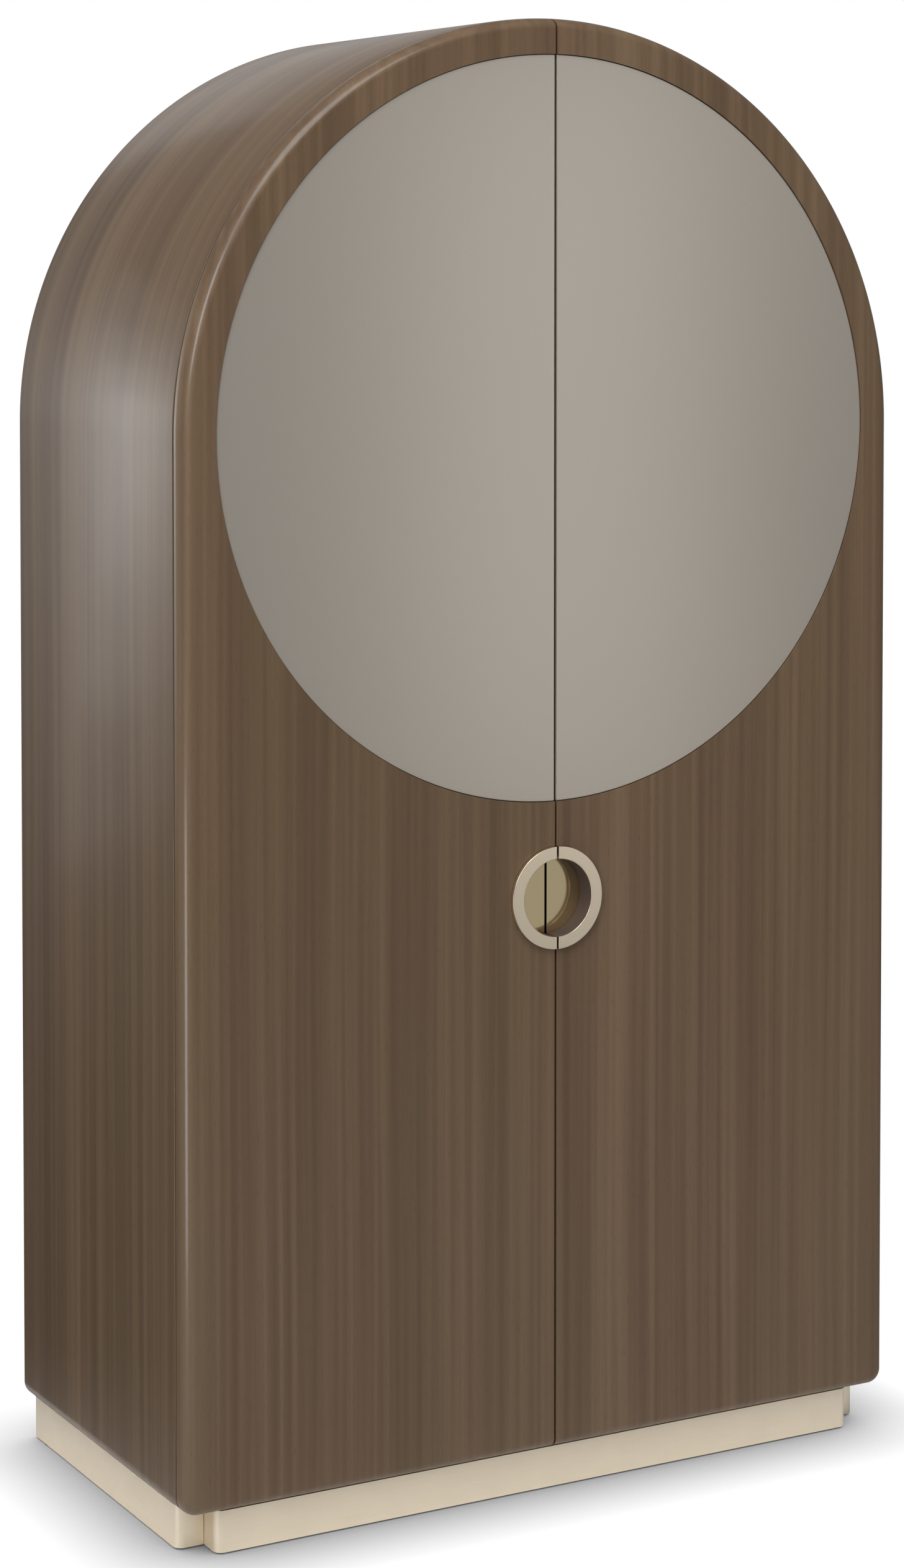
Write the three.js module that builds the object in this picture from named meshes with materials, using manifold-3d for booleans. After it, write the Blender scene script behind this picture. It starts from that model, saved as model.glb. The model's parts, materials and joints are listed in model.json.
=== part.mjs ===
// An arch-topped armoire: a veneered carcass with a half-round top, a pair of full-overlay doors,
// a round inlay and a round recessed pull that are each split by the seam between the doors,
// concealed hinges, a hanging rail, two shelves, and a metal-faced plinth with stepped front corners.
//
// Millimetres. +Z is up, the doors face -Y and +X is to the right of a person facing them.
// The origin is on the floor, at the middle of the overall width and depth.
import * as THREE from "three";
import { mergeVertices } from "three/addons/utils/BufferGeometryUtils.js";
import Module from "manifold-3d";

const wasm = await Module();
wasm.setup();

// ---- Driving dimensions ------------------------------------------------------------------------

// Overall
const WIDTH = 1067; // across the carcass and across the pair of doors
const HEIGHT = 1935; // floor to the crown of the arch
const DEPTH = 533; // back of the carcass to the front face of the doors
const CLEARANCE = 0.3; // between fixed pieces that touch

// Carcass
const PANEL = 22; // sides, arch, bottom and fixed shelf
const CORNER_RADIUS = 25; // bottom corners of the carcass and of the doors
const BACK_THICKNESS = 9;
const BACK_RECESS = 3; // the back panel sits this far inside the rear edges
const FIXED_SHELF_DROP = 0; // top of the fixed shelf below the spring line of the arch
const SHELF_SETBACK = 10; // fixed shelf, behind the carcass's front edges

// Adjustable shelf and its pins
const LOOSE_SHELF_THICKNESS = 20;
const LOOSE_SHELF_HEIGHT = 342; // its underside, above the underside of the carcass
const LOOSE_SHELF_SETBACK = 30;
const LOOSE_SHELF_PLAY = 1; // at each end and at the back
const SHELF_PIN_RADIUS = 2.5;
const SHELF_PIN_IN_SIDE = 8;
const SHELF_PIN_PROUD = 9;
const PIN_ROW_FROM_EDGE = 85; // front row to the front edge, and rear row to the back panel
const PIN_PITCH = 32;
const PIN_HOLES_PER_ROW = 5;

// Hanging rail
const RAIL_RADIUS = 12.5;
const RAIL_WALL = 1.5;
const RAIL_BELOW_SHELF = 50; // rail centre below the fixed shelf
const SOCKET_FLANGE_RADIUS = 25;
const SOCKET_FLANGE = 3;
const SOCKET_DEPTH = 15;
const SOCKET_WALL = 2.5;
const SOCKET_EASING = 1; // chamfer round the flange

// Doors
const DOOR_THICKNESS = 26;
const DOOR_GAP = 2; // between the doors' backs and the carcass
const SEAM = 3; // between the two doors
const EDGE_RADIUS = 11; // rounded front edges of the doors
const BACK_EDGE_RADIUS = 2;

// Round inlay
const INLAY_MARGIN = 47.5; // wood left between the inlay and the arch
const INLAY_THICKNESS = 4.7;
const INLAY_RECESS = 2; // the inlay's face below the doors' faces
const INLAY_GROOVE = 1; // round the inlay

// Round pull
const PULL_BELOW_INLAY = 59; // gap from the inlay to the ring
const RING_RADIUS = 67.5;
const RING_INNER_RADIUS = 51;
const RING_PROUD = 6;
const RING_SEAT = 3; // depth the ring is let into the doors
const RING_EASING = 1.2;
const BORE_RELIEF = 1; // the bore behind the ring is wider than the ring by this
const BACKPLATE_OVERLAP = 12; // backplate beyond the bore
const BACKPLATE_THICKNESS = 3;

// Concealed hinges
const PIN_FROM_EDGE = 7; // hinge axis in from the door's outer edge
const PIN_FROM_CARCASS = 12; // hinge axis in front of the carcass
const PIN_RADIUS = 1.25;
const PIN_HALF_LENGTH = 8.2;
const PIN_PLAY = 0.25;
const CUP_RADIUS = 17.5;
const CUP_WALL = 0.8;
const CUP_FLOOR = 1;
const CUP_FROM_EDGE = 3; // wood left outside the cup
const KNUCKLE_RADIUS = 2.2;
const ARM_HALF_WIDTH = 4.5;
const ARM_TAIL_HALF_WIDTH = 7;
const ARM_THICKNESS = 1.6;
const FLANGE_THICKNESS = 1.2;
const FLANGE_HALF_WIDTH = 8;
const FLANGE_HALF_LENGTH = 24;
const HINGE_PLATE_THICKNESS = 5;
const HINGE_PLATE_BASE = 2;
const HINGE_PLATE_LEDGE = 2; // raised middle, beyond the arm's tail
const HINGE_PLATE_LENGTH = 50;
const HINGE_PLATE_HALF_HEIGHT = 22;
const HINGE_PLATE_SETBACK = 20; // behind the carcass's front edge
const HINGE_FROM_BOTTOM = 122; // lowest hinge above the underside of the carcass
const HINGE_BELOW_SHELF = 60; // highest hinge below the fixed shelf

// Magnetic catches under the fixed shelf
const CATCH_FROM_SEAM = 60;
const CATCH_WIDTH = 20;
const CATCH_LENGTH = 36;
const CATCH_HEIGHT = 12;
const CATCH_SETBACK = 0.15; // behind the carcass's front edges
const STRIKE_SIZE = 24;
const STRIKE_THICKNESS = 1.2;

// Plinth
const PLINTH_HEIGHT = 58; // floor to the underside of the carcass
const GLIDE_HEIGHT = 2.5;
const PLINTH_WALL = 16;
const PLINTH_SIDE_INSET = 13; // side faces in from the carcass's sides
const PLINTH_FRONT_INSET = 17; // front face behind the doors' faces
const STEP = 38; // width and depth of the stepped front corners
const PLINTH_RADIUS = 12;
const PLINTH_TO_DOOR = 2; // air under the doors
const GLIDE_RADIUS = 7;
const GLIDE_EASING = 0.5;
const GLIDE_NAIL_RADIUS = 1.5;
const GLIDE_NAIL_LENGTH = 12;
const REAR_GLIDE_FROM_BACK = 40;

// Facets
const ARCH_SEGMENTS = 72; // round the half circle of the arch
const CIRCLE_SEGMENTS = 120; // round the inlay
const RING_SEGMENTS = 64;
const CUP_SEGMENTS = 24;
const SMALL_SEGMENTS = 12;
const CORNER_SEGMENTS = 6;
const EDGE_SEGMENTS = 3;
const CUT = 1; // how far a cutting shape runs past the face that it cuts

// ---- Places worked out from them ----------------------------------------------------------------

const HALF_WIDTH = WIDTH / 2;
const SPRING_Z = HEIGHT - HALF_WIDTH;
const BACK_Y = (DEPTH + RING_PROUD) / 2;
const DOOR_FRONT_Y = BACK_Y - DEPTH;
const DOOR_BACK_Y = DOOR_FRONT_Y + DOOR_THICKNESS;
const CARCASS_FRONT_Y = DOOR_BACK_Y + DOOR_GAP;
const INSIDE_X = HALF_WIDTH - PANEL;
const INSIDE_BACK_Y = BACK_Y - BACK_RECESS - BACK_THICKNESS;
const FIXED_SHELF_Z = SPRING_Z - FIXED_SHELF_DROP - PANEL; // its underside
const LOOSE_SHELF_Z = PLINTH_HEIGHT + LOOSE_SHELF_HEIGHT;
const RAIL_Z = FIXED_SHELF_Z - RAIL_BELOW_SHELF;
const RAIL_Y = (CARCASS_FRONT_Y + INSIDE_BACK_Y) / 2;
const INLAY_RADIUS = HALF_WIDTH - INLAY_MARGIN;
const PULL_Z = SPRING_Z - INLAY_RADIUS - PULL_BELOW_INLAY - RING_RADIUS;
const BORE_RADIUS = RING_INNER_RADIUS + BORE_RELIEF;
const PIN_X = HALF_WIDTH - PIN_FROM_EDGE;
const PIN_Y = CARCASS_FRONT_Y - PIN_FROM_CARCASS;
const CUP_X = HALF_WIDTH - CUP_FROM_EDGE - CUP_RADIUS;
const CUP_INNER_RADIUS = CUP_RADIUS - CUP_WALL;
const CUP_BOTTOM_Y = PIN_Y - KNUCKLE_RADIUS - CLEARANCE - CUP_FLOOR;
const LOWEST_HINGE_Z = PLINTH_HEIGHT + HINGE_FROM_BOTTOM;
const HIGHEST_HINGE_Z = FIXED_SHELF_Z - HINGE_BELOW_SHELF;
const HINGES = [
  ["lower", LOWEST_HINGE_Z],
  ["middle", (LOWEST_HINGE_Z + HIGHEST_HINGE_Z) / 2],
  ["upper", HIGHEST_HINGE_Z],
];
const SHELF_PIN_Y = [CARCASS_FRONT_Y + PIN_ROW_FROM_EDGE, INSIDE_BACK_Y - PIN_ROW_FROM_EDGE];
const SHELF_PIN_Z = LOOSE_SHELF_Z - CLEARANCE - SHELF_PIN_RADIUS;
const PLINTH_SIDE_X = HALF_WIDTH - PLINTH_SIDE_INSET;
const PLINTH_FRONT_X = PLINTH_SIDE_X - STEP;
const PLINTH_FRONT_Y = DOOR_FRONT_Y + PLINTH_FRONT_INSET;
const PLINTH_STEP_Y = PLINTH_FRONT_Y + STEP;

// ---- Finishes -----------------------------------------------------------------------------------

const finish = (color, roughness, metalness) =>
  new THREE.MeshStandardMaterial({ color, roughness, metalness });
const VENEER = finish(0x5c4c3c, 0.4, 0);
const INSIDE_WOOD = finish(0x6b5946, 0.6, 0);
const INLAY_LACQUER = finish(0x9b9388, 0.35, 0);
const CHAMPAGNE = finish(0xc4b8a5, 0.3, 1);
const POLISHED_CHAMPAGNE = finish(0xbfa98a, 0.12, 1);
const NICKEL = finish(0xb8b8b6, 0.25, 1);
const STEEL = finish(0x8f9092, 0.4, 1);
const NYLON = finish(0x2b2a28, 0.6, 0);

// ---- Solids -------------------------------------------------------------------------------------

// A closed three.js geometry as a manifold-3d solid.
function solidOf(geometry) {
  const bare = new THREE.BufferGeometry();
  bare.setAttribute("position", geometry.getAttribute("position"));
  bare.setIndex(geometry.getIndex());
  const merged = mergeVertices(bare, 1e-4);
  return new wasm.Manifold(
    new wasm.Mesh({
      numProp: 3,
      vertProperties: merged.attributes.position.array,
      triVerts: new Uint32Array(merged.index.array),
    }),
  );
}

// A manifold-3d solid as a three.js geometry.
function geometryOf(solid) {
  const mesh = solid.getMesh();
  const geometry = new THREE.BufferGeometry();
  geometry.setAttribute("position", new THREE.BufferAttribute(mesh.vertProperties, 3));
  geometry.setIndex(new THREE.BufferAttribute(mesh.triVerts, 1));
  geometry.computeVertexNormals();
  return geometry;
}

function piece(name, solid, material) {
  const mesh = new THREE.Mesh(geometryOf(solid), material);
  mesh.name = name;
  return mesh;
}

// A box between two corners.
function box([x0, y0, z0], [x1, y1, z1]) {
  const geometry = new THREE.BoxGeometry(x1 - x0, y1 - y0, z1 - z0);
  geometry.translate((x0 + x1) / 2, (y0 + y1) / 2, (z0 + z1) / 2);
  return solidOf(geometry);
}

// A cylinder along Y, through (x, z), from y0 to y1.
function cylinderY(x, z, radius, y0, y1, segments) {
  const geometry = new THREE.CylinderGeometry(radius, radius, y1 - y0, segments);
  geometry.translate(x, (y0 + y1) / 2, z);
  return solidOf(geometry);
}

// A cylinder along Z, through (x, y), from z0 to z1.
function cylinderZ(x, y, radius, z0, z1, segments) {
  const geometry = new THREE.CylinderGeometry(radius, radius, z1 - z0, segments);
  geometry.rotateX(Math.PI / 2);
  geometry.translate(x, y, (z0 + z1) / 2);
  return solidOf(geometry);
}

// A cylinder along X, through (y, z), from x0 to x1.
function cylinderX(y, z, radius, x0, x1, segments) {
  const geometry = new THREE.CylinderGeometry(radius, radius, x1 - x0, segments);
  geometry.rotateZ(-Math.PI / 2);
  geometry.translate((x0 + x1) / 2, y, z);
  return solidOf(geometry);
}

// A closed profile of [radius, height] points, turned round the Z axis.
function turned(profile, segments) {
  const points = profile.map(([radius, height]) => new THREE.Vector2(radius, height));
  const geometry = new THREE.LatheGeometry([...points, points[0]], segments);
  geometry.rotateX(Math.PI / 2);
  return geometry;
}

// Points along an arc, both ends included. Angles are in degrees.
function arc(cx, cy, radius, from, to, segments) {
  return Array.from({ length: segments + 1 }, (_, i) => {
    const angle = THREE.MathUtils.degToRad(from + ((to - from) * i) / segments);
    return [cx + radius * Math.cos(angle), cy + radius * Math.sin(angle)];
  });
}

const shapeOf = (points) => new THREE.Shape(points.map(([x, y]) => new THREE.Vector2(x, y)));

// An outline of [x, z] points, extruded from y0 to y1, its end edges rounded if a radius is given.
function slab(points, y0, y1, radius = 0) {
  const geometry = new THREE.ExtrudeGeometry(shapeOf(points), {
    depth: y1 - y0 - 2 * radius,
    bevelEnabled: radius > 0,
    bevelThickness: radius,
    bevelSize: radius,
    bevelOffset: -radius,
    bevelSegments: EDGE_SEGMENTS,
  });
  geometry.rotateX(Math.PI / 2);
  geometry.translate(0, y1 - radius, 0);
  return solidOf(geometry);
}

// An outline of [x, y] points, extruded from z0 to z1.
function upright(points, z0, z1) {
  const geometry = new THREE.ExtrudeGeometry(shapeOf(points), { depth: z1 - z0, bevelEnabled: false });
  geometry.translate(0, 0, z0);
  return solidOf(geometry);
}

// The front outline of the carcass and of the pair of doors, drawn in by an inset.
function bodyOutline(inset) {
  const half = HALF_WIDTH - inset;
  const bottom = PLINTH_HEIGHT + inset;
  const radius = Math.max(CORNER_RADIUS - inset, CUT);
  return [
    ...arc(half - radius, bottom + radius, radius, -90, 0, CORNER_SEGMENTS),
    ...arc(0, SPRING_Z, half, 0, 180, ARCH_SEGMENTS),
    ...arc(radius - half, bottom + radius, radius, 180, 270, CORNER_SEGMENTS),
  ];
}

// ---- Carcass ------------------------------------------------------------------------------------

// One side, as the right-hand one, with its rounded bottom corner and two rows of shelf holes.
function sideSolid() {
  let side = slab(bodyOutline(0), CARCASS_FRONT_Y, BACK_Y).intersect(
    box([INSIDE_X, CARCASS_FRONT_Y - CUT, 0], [HALF_WIDTH + CUT, BACK_Y + CUT, SPRING_Z - CLEARANCE]),
  );
  const lowest = SHELF_PIN_Z - (PIN_PITCH * (PIN_HOLES_PER_ROW - 1)) / 2;
  for (const y of SHELF_PIN_Y) {
    for (let i = 0; i < PIN_HOLES_PER_ROW; i += 1) {
      side = side.subtract(
        cylinderX(
          y,
          lowest + i * PIN_PITCH,
          SHELF_PIN_RADIUS + CLEARANCE,
          INSIDE_X - CUT,
          INSIDE_X + SHELF_PIN_IN_SIDE + CLEARANCE,
          SMALL_SEGMENTS,
        ),
      );
    }
  }
  return side;
}

function archSolid() {
  const top = [-HALF_WIDTH - CUT, CARCASS_FRONT_Y - CUT, SPRING_Z];
  return slab(bodyOutline(0), CARCASS_FRONT_Y, BACK_Y)
    .intersect(box(top, [HALF_WIDTH + CUT, BACK_Y + CUT, HEIGHT + CUT]))
    .subtract(slab(bodyOutline(PANEL), CARCASS_FRONT_Y - CUT, BACK_Y + CUT));
}

function bottomSolid() {
  const half = INSIDE_X - CLEARANCE;
  return slab(bodyOutline(0), CARCASS_FRONT_Y, BACK_Y).intersect(
    box([-half, CARCASS_FRONT_Y - CUT, 0], [half, BACK_Y + CUT, PLINTH_HEIGHT + PANEL]),
  );
}

function backSolid() {
  const y0 = INSIDE_BACK_Y;
  const y1 = y0 + BACK_THICKNESS;
  const above = PLINTH_HEIGHT + PANEL + CLEARANCE;
  return slab(bodyOutline(PANEL + CLEARANCE), y0, y1).intersect(
    box([-HALF_WIDTH, y0 - CUT, above], [HALF_WIDTH, y1 + CUT, HEIGHT]),
  );
}

function fixedShelfSolid() {
  const half = INSIDE_X - CLEARANCE;
  return box(
    [-half, CARCASS_FRONT_Y + SHELF_SETBACK, FIXED_SHELF_Z],
    [half, INSIDE_BACK_Y - CLEARANCE, FIXED_SHELF_Z + PANEL - CLEARANCE],
  );
}

function looseShelfSolid() {
  const half = INSIDE_X - LOOSE_SHELF_PLAY;
  return box(
    [-half, CARCASS_FRONT_Y + LOOSE_SHELF_SETBACK, LOOSE_SHELF_Z],
    [half, INSIDE_BACK_Y - LOOSE_SHELF_PLAY, LOOSE_SHELF_Z + LOOSE_SHELF_THICKNESS],
  );
}

// ---- Hanging rail -------------------------------------------------------------------------------

// The tube stands along Z here and is laid along X where it is placed.
function railGeometry() {
  const half = INSIDE_X - SOCKET_FLANGE - CLEARANCE;
  const inner = RAIL_RADIUS - RAIL_WALL;
  return turned(
    [
      [RAIL_RADIUS, -half],
      [RAIL_RADIUS, half],
      [inner, half],
      [inner, -half],
    ],
    CUP_SEGMENTS,
  );
}

// A flanged socket for the end of the rail, with its flange on the plane z = 0 and its mouth up.
function socketGeometry() {
  const bore = RAIL_RADIUS + CLEARANCE;
  const collar = bore + SOCKET_WALL;
  return turned(
    [
      [0, 0],
      [SOCKET_FLANGE_RADIUS, 0],
      [SOCKET_FLANGE_RADIUS, SOCKET_FLANGE - SOCKET_EASING],
      [SOCKET_FLANGE_RADIUS - SOCKET_EASING, SOCKET_FLANGE],
      [collar, SOCKET_FLANGE],
      [collar, SOCKET_DEPTH],
      [bore, SOCKET_DEPTH],
      [bore, SOCKET_FLANGE - CLEARANCE],
      [0, SOCKET_FLANGE - CLEARANCE],
    ],
    CUP_SEGMENTS,
  );
}

// ---- Doors, as the right-hand one ---------------------------------------------------------------

function doorSolid() {
  const seam = SEAM / 2;
  const half = box(
    [seam, DOOR_FRONT_Y - CUT, 0],
    [HALF_WIDTH + CUT, DOOR_BACK_Y + CUT, HEIGHT + CUT],
  );
  const pocket = INLAY_RECESS + INLAY_THICKNESS + CLEARANCE;
  const ringSeat = RING_RADIUS + CLEARANCE;
  let door = slab(bodyOutline(0), DOOR_FRONT_Y, DOOR_BACK_Y + DOOR_THICKNESS, EDGE_RADIUS)
    .intersect(slab(bodyOutline(0), DOOR_FRONT_Y - DOOR_THICKNESS, DOOR_BACK_Y, BACK_EDGE_RADIUS))
    .intersect(half)
    .subtract(
      cylinderY(
        0,
        SPRING_Z,
        INLAY_RADIUS + INLAY_GROOVE,
        DOOR_FRONT_Y - CUT,
        DOOR_FRONT_Y + pocket,
        CIRCLE_SEGMENTS,
      ),
    )
    .subtract(cylinderY(0, PULL_Z, ringSeat, DOOR_FRONT_Y - CUT, DOOR_FRONT_Y + RING_SEAT, RING_SEGMENTS))
    .subtract(cylinderY(0, PULL_Z, BORE_RADIUS, DOOR_FRONT_Y - CUT, DOOR_BACK_Y + CUT, RING_SEGMENTS));
  for (const [, z] of HINGES) {
    door = door.subtract(
      cylinderY(
        CUP_X,
        z,
        CUP_RADIUS + CLEARANCE,
        CUP_BOTTOM_Y - CLEARANCE,
        DOOR_BACK_Y + CUT,
        CUP_SEGMENTS,
      ),
    );
  }
  return door;
}

// The half of a body of revolution that lies on one door.
const doorHalf = (solid) =>
  solid.intersect(
    box([SEAM / 2, DOOR_FRONT_Y - HALF_WIDTH, 0], [HALF_WIDTH, DOOR_BACK_Y + HALF_WIDTH, HEIGHT]),
  );

function inlaySolid() {
  const face = DOOR_FRONT_Y + INLAY_RECESS;
  return doorHalf(
    cylinderY(0, SPRING_Z, INLAY_RADIUS, face, face + INLAY_THICKNESS, CIRCLE_SEGMENTS),
  );
}

function ringSolid() {
  const seated = RING_SEAT - CLEARANCE;
  const geometry = turned(
    [
      [RING_INNER_RADIUS, -seated],
      [RING_RADIUS, -seated],
      [RING_RADIUS, RING_PROUD - RING_EASING],
      [RING_RADIUS - RING_EASING, RING_PROUD],
      [RING_INNER_RADIUS + RING_EASING, RING_PROUD],
      [RING_INNER_RADIUS, RING_PROUD - RING_EASING],
    ],
    RING_SEGMENTS,
  );
  geometry.rotateX(Math.PI / 2);
  geometry.translate(0, DOOR_FRONT_Y, PULL_Z);
  return doorHalf(solidOf(geometry));
}

function backplateSolid() {
  const face = DOOR_BACK_Y + CLEARANCE;
  return doorHalf(
    cylinderY(
      0,
      PULL_Z,
      BORE_RADIUS + BACKPLATE_OVERLAP,
      face,
      face + BACKPLATE_THICKNESS,
      RING_SEGMENTS,
    ),
  );
}

function strikeSolid() {
  const z = FIXED_SHELF_Z - CLEARANCE - CATCH_HEIGHT / 2;
  const half = STRIKE_SIZE / 2;
  const face = DOOR_BACK_Y + CLEARANCE;
  return box(
    [CATCH_FROM_SEAM - half, face, z - half],
    [CATCH_FROM_SEAM + half, face + STRIKE_THICKNESS, z + half],
  );
}

// ---- Hinges, as for the right-hand door, at the height z = 0 ------------------------------------

// The cup let into the door's back, with a flange and two lugs that hold the pin.
function cupSolid() {
  const insideBottom = CUP_BOTTOM_Y + CUP_FLOOR;
  const rim = DOOR_BACK_Y + CLEARANCE;
  const lugStart = ARM_HALF_WIDTH + CLEARANCE;
  const cup = cylinderY(CUP_X, 0, CUP_RADIUS, CUP_BOTTOM_Y, rim, CUP_SEGMENTS);
  const hollow = cylinderY(CUP_X, 0, CUP_INNER_RADIUS, insideBottom, rim + CUT, CUP_SEGMENTS);
  const flange = box(
    [CUP_X - FLANGE_HALF_WIDTH, rim, -FLANGE_HALF_LENGTH],
    [CUP_X + FLANGE_HALF_WIDTH, rim + FLANGE_THICKNESS, FLANGE_HALF_LENGTH],
  );
  const mouth = cylinderY(CUP_X, 0, CUP_INNER_RADIUS, insideBottom, rim + CUP_RADIUS, CUP_SEGMENTS);
  const lugs = [-1, 1].map((sign) => {
    const [z0, z1] = sign < 0 ? [-CUP_RADIUS, -lugStart] : [lugStart, CUP_RADIUS];
    return box([PIN_X - 2 * KNUCKLE_RADIUS, CUP_BOTTOM_Y, z0], [HALF_WIDTH, PIN_Y + KNUCKLE_RADIUS, z1])
      .intersect(cylinderY(CUP_X, 0, CUP_RADIUS, CUP_BOTTOM_Y, rim, CUP_SEGMENTS));
  });
  const hole = PIN_HALF_LENGTH + CLEARANCE;
  return cup
    .subtract(hollow)
    .add(flange.subtract(mouth))
    .add(lugs[0])
    .add(lugs[1])
    .subtract(cylinderZ(PIN_X, PIN_Y, PIN_RADIUS + PIN_PLAY, -hole, hole, SMALL_SEGMENTS));
}

function hingePinSolid() {
  return cylinderZ(PIN_X, PIN_Y, PIN_RADIUS, -PIN_HALF_LENGTH, PIN_HALF_LENGTH, SMALL_SEGMENTS);
}

// The plate's and the arm's places across the inside face of the side.
const HINGE_PLATE_X = INSIDE_X - CLEARANCE - HINGE_PLATE_THICKNESS;
const ARM_X = HINGE_PLATE_X - CLEARANCE - ARM_THICKNESS;
const HINGE_PLATE_Y = CARCASS_FRONT_Y + HINGE_PLATE_SETBACK;
const ARM_END_Y = HINGE_PLATE_Y + HINGE_PLATE_LENGTH;

// The bent arm: a knuckle round the pin, a neck across the cup, and a tail along the side.
function armSolid() {
  const low = PIN_Y - KNUCKLE_RADIUS;
  const knuckle = cylinderZ(PIN_X, PIN_Y, KNUCKLE_RADIUS, -ARM_HALF_WIDTH, ARM_HALF_WIDTH, SMALL_SEGMENTS);
  const neck = box([ARM_X, low, -ARM_HALF_WIDTH], [PIN_X, low + ARM_THICKNESS, ARM_HALF_WIDTH]);
  const riser = box([ARM_X, low, -ARM_HALF_WIDTH], [ARM_X + ARM_THICKNESS, ARM_END_Y, ARM_HALF_WIDTH]);
  const tail = box(
    [ARM_X, HINGE_PLATE_Y, -ARM_TAIL_HALF_WIDTH],
    [ARM_X + ARM_THICKNESS, ARM_END_Y, ARM_TAIL_HALF_WIDTH],
  );
  const bore = cylinderZ(
    PIN_X,
    PIN_Y,
    PIN_RADIUS + PIN_PLAY,
    -ARM_HALF_WIDTH - CUT,
    ARM_HALF_WIDTH + CUT,
    SMALL_SEGMENTS,
  );
  return knuckle.add(neck).add(riser).add(tail).subtract(bore);
}

// The mounting plate on the side, with a raised middle that carries the arm.
function hingePlateSolid() {
  const face = INSIDE_X - CLEARANCE;
  const end = HINGE_PLATE_Y + HINGE_PLATE_LENGTH;
  const high = HINGE_PLATE_HALF_HEIGHT;
  const raised = ARM_TAIL_HALF_WIDTH + HINGE_PLATE_LEDGE;
  return box([face - HINGE_PLATE_BASE, HINGE_PLATE_Y, -high], [face, end, high]).add(
    box([HINGE_PLATE_X, HINGE_PLATE_Y, -raised], [face, end, raised]),
  );
}

function catchSolid() {
  const front = CARCASS_FRONT_Y + CATCH_SETBACK;
  const top = FIXED_SHELF_Z - CLEARANCE;
  return box(
    [CATCH_FROM_SEAM - CATCH_WIDTH / 2, front, top - CATCH_HEIGHT],
    [CATCH_FROM_SEAM + CATCH_WIDTH / 2, front + CATCH_LENGTH, top],
  );
}

// ---- Plinth -------------------------------------------------------------------------------------

const PLINTH_TOP = PLINTH_HEIGHT - CLEARANCE;

const nailHole = (x, y) =>
  cylinderZ(
    x,
    y,
    GLIDE_NAIL_RADIUS + CLEARANCE,
    0,
    GLIDE_HEIGHT + GLIDE_NAIL_LENGTH + CLEARANCE,
    SMALL_SEGMENTS,
  );

const FRONT_GLIDE = [PLINTH_FRONT_X - PLINTH_WALL / 2, PLINTH_FRONT_Y + STEP / 2 + PLINTH_WALL / 2];
const REAR_GLIDE = [PLINTH_SIDE_X - PLINTH_WALL / 2, BACK_Y - REAR_GLIDE_FROM_BACK];

// The front board, returned backwards at each end to make the step's side faces.
function plinthFrontSolid() {
  const x = PLINTH_FRONT_X;
  const front = PLINTH_FRONT_Y;
  const rear = PLINTH_STEP_Y + PLINTH_WALL;
  const r = PLINTH_RADIUS;
  const inner = x - PLINTH_WALL;
  const outline = [
    [-x, rear],
    ...arc(r - x, front + r, r, 180, 270, CORNER_SEGMENTS),
    ...arc(x - r, front + r, r, -90, 0, CORNER_SEGMENTS),
    [x, rear],
    [inner, rear],
    [inner, front + PLINTH_WALL],
    [-inner, front + PLINTH_WALL],
    [-inner, rear],
  ];
  const underDoors = box(
    [-HALF_WIDTH, DOOR_FRONT_Y, PLINTH_HEIGHT - PLINTH_TO_DOOR],
    [HALF_WIDTH, CARCASS_FRONT_Y, PLINTH_HEIGHT + CUT],
  );
  return upright(outline, GLIDE_HEIGHT, PLINTH_TOP)
    .subtract(underDoors)
    .subtract(nailHole(FRONT_GLIDE[0], FRONT_GLIDE[1]))
    .subtract(nailHole(-FRONT_GLIDE[0], FRONT_GLIDE[1]));
}

// One side board, as the right-hand one, returned inwards at the front to make the step's front face.
function plinthSideSolid() {
  const x = PLINTH_SIDE_X;
  const front = PLINTH_STEP_Y;
  const r = PLINTH_RADIUS;
  const inner = x - PLINTH_WALL;
  const start = PLINTH_FRONT_X + CLEARANCE;
  const outline = [
    [start, front],
    ...arc(x - r, front + r, r, -90, 0, CORNER_SEGMENTS),
    ...arc(x - r, BACK_Y - r, r, 0, 90, CORNER_SEGMENTS),
    [inner, BACK_Y],
    [inner, front + PLINTH_WALL],
    [start, front + PLINTH_WALL],
  ];
  return upright(outline, GLIDE_HEIGHT, PLINTH_TOP).subtract(nailHole(...REAR_GLIDE));
}

function plinthBackSolid() {
  const half = PLINTH_SIDE_X - PLINTH_WALL - CLEARANCE;
  return box([-half, BACK_Y - PLINTH_WALL, GLIDE_HEIGHT], [half, BACK_Y, PLINTH_TOP]);
}

// A nail-on glide, standing on the plane z = 0.
function glideGeometry() {
  const top = GLIDE_HEIGHT - CLEARANCE;
  return turned(
    [
      [0, 0],
      [GLIDE_RADIUS - GLIDE_EASING, 0],
      [GLIDE_RADIUS, GLIDE_EASING],
      [GLIDE_RADIUS, top],
      [GLIDE_NAIL_RADIUS, top],
      [GLIDE_NAIL_RADIUS, GLIDE_HEIGHT + GLIDE_NAIL_LENGTH],
      [0, GLIDE_HEIGHT + GLIDE_NAIL_LENGTH],
    ],
    SMALL_SEGMENTS,
  );
}

// ---- Assembly -----------------------------------------------------------------------------------

const SIDES = [
  ["right", 1],
  ["left", -1],
];

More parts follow.
